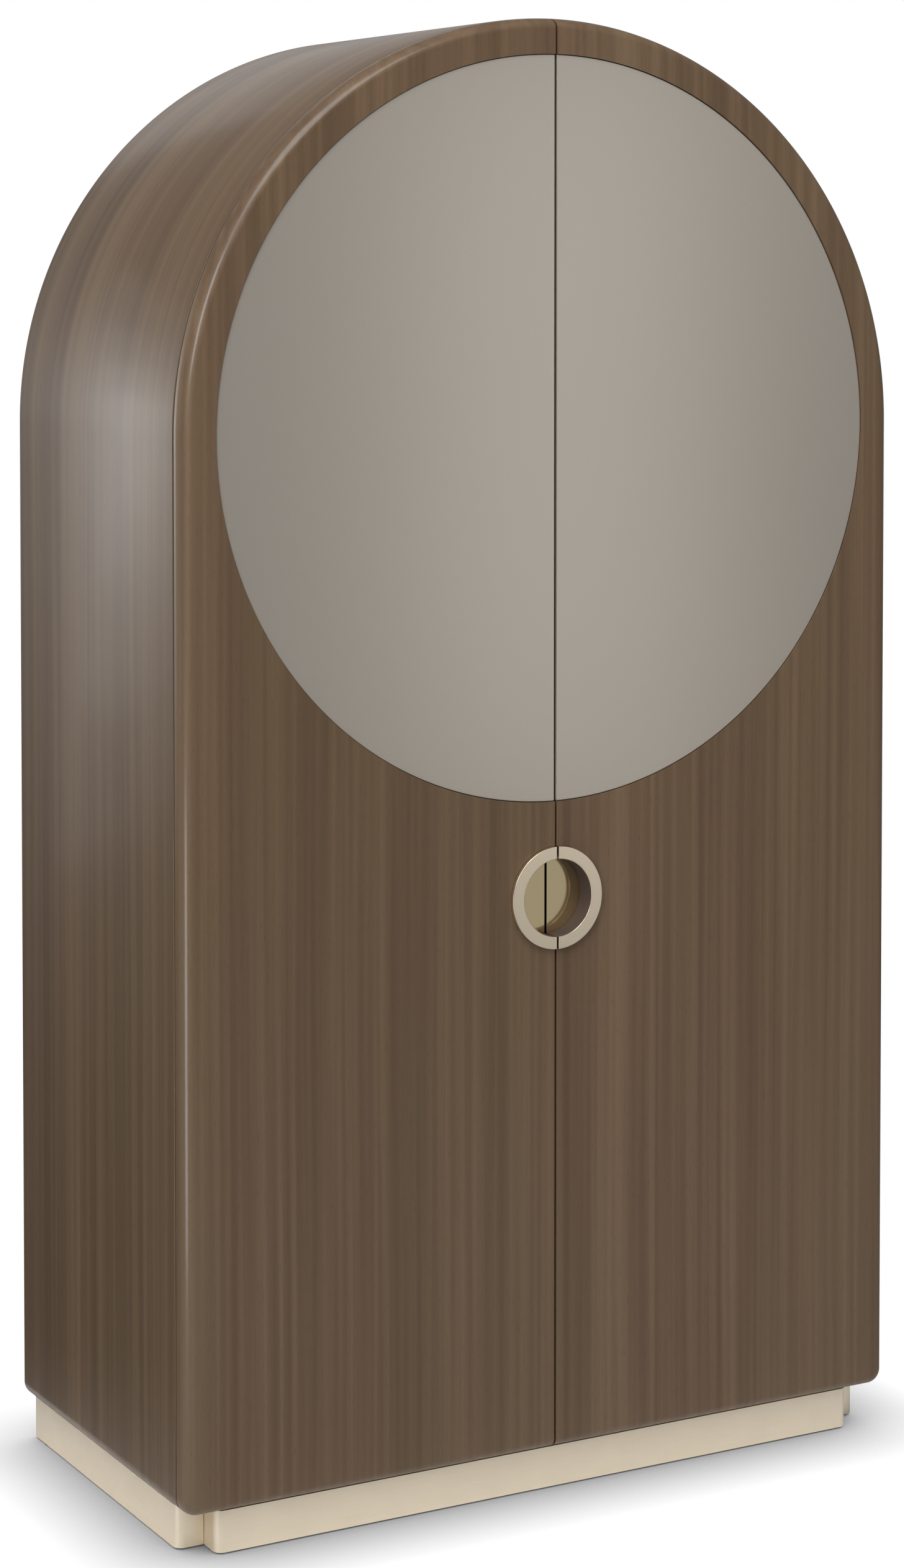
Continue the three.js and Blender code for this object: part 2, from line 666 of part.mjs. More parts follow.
const armoire = new THREE.Group();
const carcass = new THREE.Group();
carcass.add(
  piece("arch_top", archSolid(), VENEER),
  piece("bottom_panel", bottomSolid(), VENEER),
  piece("back_panel", backSolid(), INSIDE_WOOD),
  piece("fixed_shelf", fixedShelfSolid(), INSIDE_WOOD),
  piece("adjustable_shelf", looseShelfSolid(), INSIDE_WOOD),
  piece("plinth_front", plinthFrontSolid(), CHAMPAGNE),
  piece("plinth_back", plinthBackSolid(), CHAMPAGNE),
);

const rail = new THREE.Mesh(railGeometry(), NICKEL);
rail.name = "hanging_rail";
rail.rotation.y = Math.PI / 2;
rail.position.set(0, RAIL_Y, RAIL_Z);
carcass.add(rail);

const parts = {
  side: sideSolid(),
  plinthSide: plinthSideSolid(),
  door: doorSolid(),
  inlay: inlaySolid(),
  ring: ringSolid(),
  backplate: backplateSolid(),
  strike: strikeSolid(),
  cup: cupSolid(),
  hingePin: hingePinSolid(),
  arm: armSolid(),
  hingePlate: hingePlateSolid(),
  catch: catchSolid(),
};

for (const [hand, sign] of SIDES) {
  // Everything fixed to one side of the carcass; the left-hand set is the mirror image.
  const fixed = new THREE.Group();
  fixed.scale.x = sign;
  fixed.add(
    piece(hand + "_side", parts.side, VENEER),
    piece("plinth_" + hand, parts.plinthSide, CHAMPAGNE),
    piece(hand + "_catch", parts.catch, NYLON),
  );

  const socket = new THREE.Mesh(socketGeometry(), NICKEL);
  socket.name = hand + "_rail_socket";
  socket.rotation.y = -Math.PI / 2;
  socket.position.set(INSIDE_X - CLEARANCE, RAIL_Y, RAIL_Z);
  fixed.add(socket);

  SHELF_PIN_Y.forEach((y, row) => {
    const length = SHELF_PIN_IN_SIDE + SHELF_PIN_PROUD;
    const pin = new THREE.Mesh(
      new THREE.CylinderGeometry(SHELF_PIN_RADIUS, SHELF_PIN_RADIUS, length, SMALL_SEGMENTS),
      NICKEL,
    );
    pin.name = hand + (row === 0 ? "_front" : "_rear") + "_shelf_pin";
    pin.rotation.z = Math.PI / 2;
    pin.position.set(INSIDE_X + SHELF_PIN_IN_SIDE - length / 2, y, SHELF_PIN_Z);
    fixed.add(pin);
  });

  [
    ["front", FRONT_GLIDE],
    ["rear", REAR_GLIDE],
  ].forEach(([end, [x, y]]) => {
    const glide = new THREE.Mesh(glideGeometry(), NYLON);
    glide.name = hand + "_" + end + "_glide";
    glide.position.set(x, y, 0);
    fixed.add(glide);
  });

  // Everything that swings with one door.
  const swinging = new THREE.Group();
  swinging.scale.x = sign;
  swinging.add(
    piece(hand + "_door", parts.door, VENEER),
    piece(hand + "_inlay", parts.inlay, INLAY_LACQUER),
    piece(hand + "_pull_ring", parts.ring, CHAMPAGNE),
    piece(hand + "_pull_backplate", parts.backplate, POLISHED_CHAMPAGNE),
    piece(hand + "_strike_plate", parts.strike, STEEL),
  );

  for (const [level, z] of HINGES) {
    const name = hand + "_" + level + "_hinge_";
    const onSide = [
      piece(name + "arm", parts.arm, NICKEL),
      piece(name + "plate", parts.hingePlate, NICKEL),
    ];
    const onDoor = [
      piece(name + "cup", parts.cup, NICKEL),
      piece(name + "pin", parts.hingePin, STEEL),
    ];
    [...onSide, ...onDoor].forEach((mesh) => {
      mesh.position.z = z;
    });
    fixed.add(...onSide);
    swinging.add(...onDoor);
  }

  carcass.add(fixed);
  armoire.add(swinging);
}
armoire.add(carcass);

export default armoire;
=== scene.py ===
# %% [markdown]
# # Dressing an arch-topped armoire
# The armoire has a veneered body with a half-round top, two doors with a round
# inlay and a round pull split between them, and a metal-leafed plinth.
# Its bare solids, sizes and hinges come in as a fixed frame, and this lesson
# builds the surfaces that a person sees around them.
# Everything is in metres: +Z is up, the doors face -Y, and +X is to the right of
# a person who faces the doors.

# %% Load the frame
import json
import math

import bmesh
import bpy
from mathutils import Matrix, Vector

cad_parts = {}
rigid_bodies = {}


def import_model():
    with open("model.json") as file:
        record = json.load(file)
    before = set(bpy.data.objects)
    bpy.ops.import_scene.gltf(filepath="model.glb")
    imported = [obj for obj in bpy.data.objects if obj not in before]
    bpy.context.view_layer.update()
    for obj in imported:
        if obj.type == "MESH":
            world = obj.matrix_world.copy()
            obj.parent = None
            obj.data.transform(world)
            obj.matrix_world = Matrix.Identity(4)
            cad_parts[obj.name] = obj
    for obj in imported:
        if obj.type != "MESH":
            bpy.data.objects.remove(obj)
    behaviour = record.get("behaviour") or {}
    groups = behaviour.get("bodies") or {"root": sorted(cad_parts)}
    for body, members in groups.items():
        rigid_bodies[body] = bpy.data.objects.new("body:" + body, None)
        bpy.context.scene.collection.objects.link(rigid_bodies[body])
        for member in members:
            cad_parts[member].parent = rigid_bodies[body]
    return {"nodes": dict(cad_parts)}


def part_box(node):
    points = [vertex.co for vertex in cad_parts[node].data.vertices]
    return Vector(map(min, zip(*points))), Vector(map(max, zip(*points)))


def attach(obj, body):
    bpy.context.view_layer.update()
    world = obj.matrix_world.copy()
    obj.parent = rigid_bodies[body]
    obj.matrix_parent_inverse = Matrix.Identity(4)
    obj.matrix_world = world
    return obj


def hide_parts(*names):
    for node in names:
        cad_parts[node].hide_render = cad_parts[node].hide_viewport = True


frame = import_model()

scene = bpy.context.scene
MM = 0.001
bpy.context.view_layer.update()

# %% [markdown]
# ## The sizes that everything follows
# A finished surface only fits if it takes its places from the solid it covers.
# The boxes round a few nodes give all the places: the right-hand door gives the
# width, the seam and the height, and the arch's centre lies half a width below
# the crown. Only the small radii, which a box can't show, are written here.

# %% Places read from the frame
door_low, door_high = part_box("right_door")
side_low, side_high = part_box("right_side")
back_low, back_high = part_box("back_panel")
inlay_low, inlay_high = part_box("right_inlay")
ring_low, ring_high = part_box("right_pull_ring")
backplate_low, backplate_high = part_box("right_pull_backplate")

HALF_WIDTH = door_high.x
SEAM_X = door_low.x
BASE_Z = door_low.z
SPRING_Z = door_high.z - HALF_WIDTH
DOOR_FRONT_Y, DOOR_BACK_Y = door_low.y, door_high.y
CARCASS_FRONT_Y, BACK_Y = side_low.y, side_high.y
INSIDE_X = side_low.x
PANEL = side_high.x - side_low.x
PULL_Z = (ring_low.z + ring_high.z) / 2
RING_RADIUS = ring_high.x
INLAY_RADIUS = inlay_high.x

CORNER_RADIUS = 22 * MM
EDGE_INSET, EDGE_DEPTH = 14 * MM, 22 * MM
BACK_EDGE_RADIUS = 2 * MM
RING_INNER_RADIUS = 51 * MM
BORE_RADIUS = 52 * MM
FIT = 0.3 * MM
print("arch centre", round(SPRING_Z, 4), "pull centre", round(PULL_Z, 4))

# %% [markdown]
# ## Camera
# The armoire is seen from its front left corner, a little below the crown.
# A long lens from a few metres away keeps the uprights almost parallel, and the
# shift lowers the picture without tilting the camera, as a view camera does.

# %% Camera
camera_data = bpy.data.cameras.new("camera")
camera_data.lens = 76.87
camera_data.sensor_width = 36
camera_data.shift_y = -0.2453
camera = bpy.data.objects.new("camera", camera_data)
camera.location = (-2.2276, -4.0022, 1.6075)
camera.rotation_euler = (math.radians(87.8), 0, math.radians(-29))
scene.collection.objects.link(camera)
scene.camera = camera
print("camera at", tuple(camera.location))

# %% [markdown]
# ## Helpers for nodes
# Node trees written in code get long, because each node needs its settings, its
# values and its links. One small helper adds a node and fills its sockets: a
# plain value is stored in the socket, and another node's output is linked to it.

# %% Helpers for nodes
def add(tree, kind, inputs=None, **settings):
    made = tree.nodes.new(kind)
    for name, value in settings.items():
        setattr(made, name, value)
    for name, value in (inputs or {}).items():
        if isinstance(value, bpy.types.NodeSocket):
            tree.links.new(value, made.inputs[name])
        else:
            made.inputs[name].default_value = value
    return made


def math_node(tree, operation, a, b=0.0, c=0.0):
    return add(tree, "ShaderNodeMath", {0: a, 1: b, 2: c}, operation=operation).outputs[0]


def new_group(name, kind, inputs, outputs):
    tree = bpy.data.node_groups.new(name, kind)
    for label, socket_type, value in inputs:
        socket = tree.interface.new_socket(label, in_out="INPUT", socket_type=socket_type)
        if value is not None:
            socket.default_value = value
    for label, socket_type in outputs:
        tree.interface.new_socket(label, in_out="OUTPUT", socket_type=socket_type)
    return tree, add(tree, "NodeGroupInput").outputs, add(tree, "NodeGroupOutput").inputs


def mixed_colour(tree, factor, low, high, blend_type="MIX"):
    mixed = add(
        tree,
        "ShaderNodeMix",
        {0: factor, 6: low, 7: high},
        data_type="RGBA",
        blend_type=blend_type,
    )
    return mixed.outputs[2]


def finish_tree(tree, inputs, outputs, geometry):
    """Ends a Geometry Nodes tree with real geometry in its input's material."""
    real = add(tree, "GeometryNodeRealizeInstances", {"Geometry": geometry})
    painted = add(
        tree,
        "GeometryNodeSetMaterial",
        {"Geometry": real.outputs["Geometry"], "Material": inputs["Material"]},
    )
    tree.links.new(painted.outputs["Geometry"], outputs["Geometry"])


FLOAT, VECTOR, WHOLE = "NodeSocketFloat", "NodeSocketVector", "NodeSocketInt"
GEOMETRY, MATERIAL = "NodeSocketGeometry", "NodeSocketMaterial"
print("node helpers ready")

# %% [markdown]
# ## The figure of straight-grained veneer
# Quarter-cut veneer shows three things at once: soft stripes a few centimetres
# wide, thin streaks that run on for most of a door, and tiny pores.
# An image of wood would repeat and blur, so each of them is a noise pattern that
# is stretched along the grain. They share one shader node group, because the
# outside and the inside wood use the same figure with different strengths.
# The group reads a "grain" coordinate that every wooden piece carries: its first
# two numbers run across the grain and its third runs along it, in metres.

# %% Node group: wood figure
figure, figure_in, figure_out = new_group(
    "wood figure",
    "ShaderNodeTree",
    [
        ("Grain", VECTOR, None),
        ("Stripe Width", FLOAT, 0.05),
        ("Streak Width", FLOAT, 0.007),
        ("Streak Length", FLOAT, 1.2),
        ("Leaf Width", FLOAT, 0.16),
    ],
    [
        ("Stripes", FLOAT),
        ("Streaks", FLOAT),
        ("Fibres", FLOAT),
        ("Pores", FLOAT),
        ("Leaf", FLOAT),
        ("Drift", FLOAT),
    ],
)


def stretched_noise(tree, vector, width, length, detail, roughness=0.5):
    """A noise with cells of that width across the grain and that length along it."""
    across = math_node(tree, "DIVIDE", 1.0, width)
    along = math_node(tree, "DIVIDE", 1.0, length)
    scale = add(tree, "ShaderNodeCombineXYZ", {"X": across, "Y": across, "Z": along})
    stretched = add(
        tree,
        "ShaderNodeVectorMath",
        {0: vector, 1: scale.outputs[0]},
        operation="MULTIPLY",
    )
    noise = add(
        tree,
        "ShaderNodeTexNoise",
        {"Vector": stretched.outputs[0], "Scale": 1.0, "Detail": detail, "Roughness": roughness},
    )
    return noise.outputs["Fac"]


sway = stretched_noise(figure, figure_in["Grain"], 0.30, 0.9, 1.0)
sway_across = math_node(figure, "MULTIPLY_ADD", sway, 0.010, -0.005)
swayed = add(
    figure,
    "ShaderNodeVectorMath",
    {
        0: figure_in["Grain"],
        1: add(figure, "ShaderNodeCombineXYZ", {"X": sway_across, "Y": sway_across}).outputs[0],
    },
    operation="ADD",
).outputs[0]
stripe_length = math_node(figure, "MULTIPLY", figure_in["Streak Length"], 3.0)
stripes = stretched_noise(figure, swayed, figure_in["Stripe Width"], stripe_length, 2.0)
streaks = stretched_noise(
    figure, swayed, figure_in["Streak Width"], figure_in["Streak Length"], 1.6
)
drift = stretched_noise(figure, swayed, 0.11, 1.6, 1.0)
fibres = stretched_noise(figure, swayed, 0.0011, 0.12, 2.0, 0.6)
pore_noise = stretched_noise(figure, swayed, 0.0007, 0.016, 1.0)
pores = add(
    figure, "ShaderNodeMapRange", {"Value": pore_noise, "From Min": 0.64, "From Max": 0.72}
)
leaf_number = math_node(
    figure,
    "FLOOR",
    math_node(
        figure,
        "DIVIDE",
        add(figure, "ShaderNodeSeparateXYZ", {"Vector": figure_in["Grain"]}).outputs["X"],
        figure_in["Leaf Width"],
    ),
)
leaf = add(figure, "ShaderNodeTexWhiteNoise", {"W": leaf_number}, noise_dimensions="1D")
for label, value in (
    ("Stripes", stripes),
    ("Streaks", streaks),
    ("Fibres", fibres),
    ("Pores", pores.outputs[0]),
    ("Leaf", leaf.outputs["Value"]),
    ("Drift", drift),
):
    figure.links.new(value, figure_out[label])
print("wood figure:", len(figure.nodes), "nodes")

# %% [markdown]
# ## Brushing and handling
# Metal that was rubbed with an abrasive keeps fine parallel lines, and any
# polished surface picks up faint cloudy patches where it is touched and wiped.
# Both are far too fine to model, and both belong to several finishes here, so
# each is a group: one gives lines along a chosen direction, and the other gives
# a cloudy mask and a fine grit, which vary colour, roughness and bump.

# %% Node groups: brushed lines and handling
brushing, brushing_in, brushing_out = new_group(
    "brushed lines",
    "ShaderNodeTree",
    [
        ("Across", FLOAT, 0.0),
        ("Along", FLOAT, 0.0),
        ("Line Width", FLOAT, 0.0006),
        ("Line Length", FLOAT, 0.08),
    ],
    [("Lines", FLOAT)],
)
line_place = add(
    brushing,
    "ShaderNodeCombineXYZ",
    {
        "X": math_node(brushing, "DIVIDE", brushing_in["Across"], brushing_in["Line Width"]),
        "Y": math_node(brushing, "DIVIDE", brushing_in["Along"], brushing_in["Line Length"]),
    },
)
line_noise = add(
    brushing,
    "ShaderNodeTexNoise",
    {"Vector": line_place.outputs[0], "Scale": 1.0, "Detail": 3.0, "Roughness": 0.65},
)
brushing.links.new(line_noise.outputs["Fac"], brushing_out["Lines"])

handling, handling_in, handling_out = new_group(
    "handling",
    "ShaderNodeTree",
    [("Place", VECTOR, None), ("Patch Size", FLOAT, 0.12)],
    [("Cloud", FLOAT), ("Grit", FLOAT)],
)


def sized_noise(tree, vector, size, detail):
    """A noise with cells of that size in every direction."""
    scale = math_node(tree, "DIVIDE", 1.0, size)
    return add(
        tree, "ShaderNodeTexNoise", {"Vector": vector, "Scale": scale, "Detail": detail}
    ).outputs["Fac"]


GRIT_SIZE = 1.2 * MM
for label, size, detail in (("Cloud", handling_in["Patch Size"], 4.0), ("Grit", GRIT_SIZE, 2.0)):
    noise = sized_noise(handling, handling_in["Place"], size, detail)
    handling.links.new(noise, handling_out[label])
print("brushing and handling ready")

# %% [markdown]
# ## Brown veneer, outside and inside
# The doors and the body are faced with brown veneer under a satin lacquer, and
# the boards inside have the same veneer with a duller coat. Lacquered wood is one
# soft reflection over a coloured base, so a Principled BSDF with a clear coat
# gives it. The colour comes from a ramp between a dark and a light brown, driven
# by the stripes, streaks and leaves together. It drifts a little from olive to red
# brown across a leaf, and the pores darken it.

# %% Material: veneer
def srgb(red, green, blue):
    """Linear colour from the usual 0-255 numbers."""
    def linear(value):
        value /= 255
        return value / 12.92 if value <= 0.04045 else ((value + 0.055) / 1.055) ** 2.4

    return (linear(red), linear(green), linear(blue), 1.0)


def new_material(name):
    material = bpy.data.materials.new(name)
    material.use_nodes = True
    tree = material.node_tree
    return material, tree, tree.nodes["Principled BSDF"]


def bump_from(tree, height, distance, strength):
    return add(
        tree,
        "ShaderNodeBump",
        {"Height": height, "Distance": distance, "Strength": strength},
    ).outputs["Normal"]


OLIVE_TINT, RED_TINT = (0.95, 1.0, 0.90, 1.0), (1.06, 0.99, 1.08, 1.0)
TONE_WEIGHTS = {"Stripes": 0.40, "Streaks": 0.42, "Fibres": 0.09, "Leaf": 0.09}
DARK_TONE, MIDDLE_TONE, LIGHT_TONE = 0.28, 0.49, 0.74
PORE_DEPTH, PORE_SHADE = 0.30, 0.45


def veneer_material(name, dark, middle, light, gloss, coat, coat_roughness):
    material, tree, shader = new_material(name)
    grain = add(tree, "ShaderNodeAttribute", attribute_name="grain")
    wood = add(
        tree,
        "ShaderNodeGroup",
        {
            "Grain": grain.outputs["Vector"],
            "Stripe Width": 0.05,
            "Streak Width": 0.011,
            "Streak Length": 1.3,
            "Leaf Width": 0.155,
        },
        node_tree=figure,
    )
    tone = 0.0
    for part, weight in TONE_WEIGHTS.items():
        tone = math_node(tree, "MULTIPLY_ADD", wood.outputs[part], weight, tone)
    ramp = add(tree, "ShaderNodeValToRGB", {"Fac": tone})
    ramp.color_ramp.interpolation = "B_SPLINE"
    first, last = ramp.color_ramp.elements
    first.position, first.color = DARK_TONE, dark
    last.position, last.color = LIGHT_TONE, light
    ramp.color_ramp.elements.new(MIDDLE_TONE).color = middle
    tint = mixed_colour(tree, wood.outputs["Drift"], OLIVE_TINT, RED_TINT)
    tinted = mixed_colour(tree, 1.0, ramp.outputs["Color"], tint, "MULTIPLY")
    pore_mask = math_node(tree, "MULTIPLY", wood.outputs["Pores"], PORE_DEPTH)
    pore_colour = tuple(PORE_SHADE * part for part in dark[:3]) + (1.0,)
    darkened = mixed_colour(tree, pore_mask, tinted, pore_colour)
    tree.links.new(darkened, shader.inputs["Base Color"])
    cloud = add(tree, "ShaderNodeGroup", {"Place": grain.outputs["Vector"]}, node_tree=handling)
    rough = math_node(tree, "MULTIPLY_ADD", cloud.outputs["Cloud"], 0.10, gloss - 0.05)
    rough = math_node(tree, "MULTIPLY_ADD", wood.outputs["Fibres"], 0.08, rough)
    tree.links.new(rough, shader.inputs["Roughness"])
    height = math_node(tree, "MULTIPLY_ADD", wood.outputs["Pores"], -0.8, wood.outputs["Fibres"])
    tree.links.new(bump_from(tree, height, 0.05 * MM, 0.25), shader.inputs["Normal"])
    shader.inputs["Specular IOR Level"].default_value = 0.35
    shader.inputs["Coat Weight"].default_value = coat
    shader.inputs["Coat Roughness"].default_value = coat_roughness
    return material


veneer = veneer_material(
    "brown veneer",
    srgb(84, 65, 46),
    srgb(100, 79, 57),
    srgb(124, 102, 78),
    gloss=0.44,
    coat=0.40,
    coat_roughness=0.19,
)
inside_wood = veneer_material(
    "inside veneer",
    srgb(98, 79, 60),
    srgb(114, 94, 73),
    srgb(134, 113, 90),
    gloss=0.55,
    coat=0.05,
    coat_roughness=0.4,
)
print("made", veneer.name, "and", inside_wood.name)

# %% [markdown]
# ## Taupe lacquer
# The round inlay is a thin board sprayed with an opaque satin lacquer. Sprayed
# lacquer is never quite flat: it keeps a very low ripple, like orange peel, and
# its fine, partly metallic pigment shows as a very small grain. A flat colour
# would look like card, so the colour shifts by a few hundredths, and a soft bump
# makes the ripple.

# %% Material: taupe lacquer
def lacquer_material(name, low, high, gloss):
    material, tree, shader = new_material(name)
    place = add(tree, "ShaderNodeTexCoord").outputs["Object"]
    marks = add(tree, "ShaderNodeGroup", {"Place": place, "Patch Size": 0.35}, node_tree=handling)
    speck = math_node(tree, "MULTIPLY", marks.outputs["Grit"], 0.6)
    shade = math_node(tree, "MULTIPLY_ADD", marks.outputs["Cloud"], 0.4, speck)
    tree.links.new(mixed_colour(tree, shade, low, high), shader.inputs["Base Color"])
    shader.inputs["Roughness"].default_value = gloss
    ripple = sized_noise(tree, place, 14 * MM, 0.0)
    tree.links.new(bump_from(tree, ripple, 0.05 * MM, 0.03), shader.inputs["Normal"])
    shader.inputs["Metallic"].default_value = 0.5
    return material


taupe_lacquer = lacquer_material("taupe lacquer", srgb(156, 149, 139), srgb(162, 155, 144), 0.26)
print("made", taupe_lacquer.name)

# %% [markdown]
# ## Champagne and other metals
# The pull's ring is brushed round its centre, its backplates are polished, the
# plinth is faced with champagne leaf under a satin lacquer, and the fittings are
# nickel or zinc plated. A metal's colour is the colour of its reflection. The
# plinth's leaf is only partly metallic, because the lacquer over it hides some.
# One function makes each from its own direction of brushing: round a centre, or
# straight along an axis.

# %% Materials: metals
BRUSH_RADIUS = 60 * MM  # turns an angle round the pull into a length along the brushing
PULL_CENTRE = (0, 0, PULL_Z)


def metal_material(name, low, high, roughness, spread, centre=None, bump=0.3, metallic=1.0):
    """Brushed round a centre on the doors' faces, or else straight along X."""
    material, tree, shader = new_material(name)
    place = add(tree, "ShaderNodeTexCoord").outputs["Object"]
    moved = add(
        tree,
        "ShaderNodeMapping",
        {"Vector": place, "Location": tuple(-part for part in centre or (0, 0, 0))},
    ).outputs[0]
    parts = add(tree, "ShaderNodeSeparateXYZ", {"Vector": moved}).outputs
    if centre:
        squared = math_node(tree, "MULTIPLY", parts["Z"], parts["Z"])
        squared = math_node(tree, "MULTIPLY_ADD", parts["X"], parts["X"], squared)
        across = math_node(tree, "SQRT", squared)
        turn = math_node(tree, "ARCTAN2", parts["Z"], parts["X"])
        along = math_node(tree, "MULTIPLY", turn, BRUSH_RADIUS)
    else:
        across = math_node(tree, "ADD", parts["Y"], parts["Z"])
        along = parts["X"]
    lines = add(tree, "ShaderNodeGroup", {"Across": across, "Along": along}, node_tree=brushing)
    marks = add(tree, "ShaderNodeGroup", {"Place": place, "Patch Size": 0.05}, node_tree=handling)
    cloud = math_node(tree, "MULTIPLY", marks.outputs["Cloud"], 0.4)
    shade = math_node(tree, "MULTIPLY_ADD", lines.outputs["Lines"], 0.6, cloud)
    tree.links.new(mixed_colour(tree, shade, low, high), shader.inputs["Base Color"])
    rough = math_node(tree, "MULTIPLY_ADD", shade, spread, roughness - spread / 2)
    tree.links.new(rough, shader.inputs["Roughness"])
    tree.links.new(bump_from(tree, lines.outputs["Lines"], 0.02 * MM, bump), shader.inputs["Normal"])
    shader.inputs["Metallic"].default_value = metallic
    return material


champagne = metal_material(
    "brushed champagne",
    srgb(222, 206, 180),
    srgb(240, 226, 203),
    roughness=0.34,
    spread=0.10,
    centre=PULL_CENTRE,
)
polished = metal_material(
    "polished champagne",
    srgb(244, 224, 178),
    srgb(250, 230, 184),
    roughness=0.11,
    spread=0.02,
    centre=PULL_CENTRE,
    bump=0.01,
)
plinth_leaf = metal_material(
    "champagne leaf",
    srgb(218, 203, 180),
    srgb(245, 233, 212),
    roughness=0.38,
    spread=0.12,
    bump=0.14,
    metallic=0.6,
)
nickel = metal_material(
    "satin nickel", srgb(176, 174, 170), srgb(200, 198, 194), roughness=0.28, spread=0.12
)
zinc = metal_material(
    "zinc plate", srgb(150, 151, 153), srgb(176, 177, 180), roughness=0.36, spread=0.14
)
print("made five metals")

# %% [markdown]
# ## Moulded plastic and bore paint
# The glides under the plinth and the bodies of the magnetic catches are moulded
# The bore of the pull cuts through the door's core, so a maker paints its wall
# with dull brown paint, which has the same kind of grit. Its dark brown also stands
# in for the shade deep in the bore, so it is partly painted shade. The same paint
# is also put on the metal ring's inner wall, where it is only painted shade.

# %% Materials: moulded plastic, and a dark bore lining that is partly painted shade
def gritty_material(name, low, high, roughness):
    material, tree, shader = new_material(name)
    place = add(tree, "ShaderNodeTexCoord").outputs["Object"]
    marks = add(tree, "ShaderNodeGroup", {"Place": place, "Patch Size": 0.03}, node_tree=handling)
    colour = mixed_colour(tree, marks.outputs["Cloud"], low, high)
    tree.links.new(colour, shader.inputs["Base Color"])
    rough = math_node(tree, "MULTIPLY_ADD", marks.outputs["Grit"], 0.2, roughness - 0.1)
    tree.links.new(rough, shader.inputs["Roughness"])
    tree.links.new(bump_from(tree, marks.outputs["Grit"], 0.05 * MM, 0.3), shader.inputs["Normal"])
    return material


plastic = gritty_material("moulded plastic", srgb(34, 33, 31), srgb(52, 50, 47), 0.55)
# The bore lining: dull paint whose dark brown also paints the shade in the bore and on the ring.
bore_paint_and_shade = gritty_material("bore paint", srgb(74, 60, 53), srgb(88, 72, 63), 0.65)


def paint_bore_and_shade(piece, radius):
    """Paints a finished piece's faces that line the pull's bore dark brown, partly as painted shade.
    """
    piece.data.materials.append(bore_paint_and_shade)
    for face in piece.data.polygons:
        reach = math.hypot(face.center.x, face.center.z - PULL_Z)
        if reach < radius + FIT and abs(face.normal.y) < 0.5:
            face.material_index = 1


print("made", plastic.name, "and", bore_paint_and_shade.name)

# %% [markdown]
# ## Helpers for meshes
# Boards and discs are outlines with a thickness, so one function stacks rings of
# points and closes the ends, and another cuts a shape at the seam. Real edges are
# never knife sharp: a narrow bevel catches the light, and weighted normals keep
# the broad faces flat beside it. Each finished piece becomes a plain mesh before
# it is handed to the frame.

# %% Helpers for meshes
SHARP_ANGLE = 35  # degrees; a sharper edge than this is eased


def arc(centre_a, centre_b, radius, start, end, steps):
    """Points on an arc, both ends included, with the angles in degrees."""
    angles = [math.radians(start + (end - start) * i / steps) for i in range(steps + 1)]
    return [(centre_a + radius * math.cos(t), centre_b + radius * math.sin(t)) for t in angles]


def circle(centre_a, centre_b, radius, steps):
    return arc(centre_a, centre_b, radius, 0, 360, steps)[:-1]


def object_of(name, bm):
    bmesh.ops.recalc_face_normals(bm, faces=bm.faces)
    mesh = bpy.data.meshes.new(name)
    bm.to_mesh(mesh)
    bm.free()
    made = bpy.data.objects.new(name, mesh)
    scene.collection.objects.link(made)
    return made


def stack(name, rings):
    """A closed solid through rings of points, each ring with as many points as the first."""
    bm = bmesh.new()
    loops = [[bm.verts.new(point) for point in ring] for ring in rings]
    for lower, upper in zip(loops, loops[1:]):
        for i in range(len(lower)):
            bm.faces.new((lower[i - 1], lower[i], upper[i], upper[i - 1]))
    bm.faces.new(loops[0])
    bm.faces.new(loops[-1])
    return object_of(name, bm)


def slab_y(name, outline, y0, y1):
    """An outline of (x, z) points with a thickness along Y."""
    return stack(name, [[(x, y, z) for x, z in outline] for y in (y0, y1)])


def slab_z(name, outline, z0, z1):
    """An outline of (x, y) points with a thickness along Z."""
    return stack(name, [[(x, y, z) for x, y in outline] for z in (z0, z1)])


def turned(name, profile, steps, place):
    """A closed profile of (radius, height) turned into a ring, each point put in place."""
    bm = bmesh.new()
    rings = []
    for i in range(steps):
        angle = 2 * math.pi * i / steps
        rings.append(
            [bm.verts.new(place(r * math.cos(angle), r * math.sin(angle), h)) for r, h in profile]
        )
    for i in range(steps):
        here, there = rings[i - 1], rings[i]
        for j in range(len(profile)):
            bm.faces.new((here[j - 1], here[j], there[j], there[j - 1]))
    bmesh.ops.remove_doubles(bm, verts=bm.verts, dist=1e-6)
    return object_of(name, bm)


def cut_at_seam(made):
    """Keeps what lies to the right of the seam, and closes the cut."""
    bm = bmesh.new()
    bm.from_mesh(made.data)
    cut = bmesh.ops.bisect_plane(
        bm,
        geom=bm.verts[:] + bm.edges[:] + bm.faces[:],
        plane_co=(SEAM_X, 0, 0),
        plane_no=(1, 0, 0),
        clear_inner=True,
    )
    edges = [part for part in cut["geom_cut"] if isinstance(part, bmesh.types.BMEdge)]
    bmesh.ops.holes_fill(bm, edges=edges, sides=0)
    bmesh.ops.recalc_face_normals(bm, faces=bm.faces)
    bm.to_mesh(made.data)
    bm.free()
    return made


def mirror_mesh(made, sign):
    """Turns a right-hand piece into a left-hand one, with its faces still outward."""
    if sign < 0:
        bm = bmesh.new()
        bm.from_mesh(made.data)
        for vert in bm.verts:
            vert.co.x = -vert.co.x
        bmesh.ops.reverse_faces(bm, faces=bm.faces)
        bm.to_mesh(made.data)
        bm.free()
    return made


def plain_mesh(made):
    """Applies every modifier and leaves a plain mesh."""
    bpy.context.view_layer.update()
    depsgraph = bpy.context.evaluated_depsgraph_get()
    mesh = bpy.data.meshes.new_from_object(
        made.evaluated_get(depsgraph), preserve_all_data_layers=True, depsgraph=depsgraph
    )
    made.modifiers.clear()
    made.data = mesh
    return made


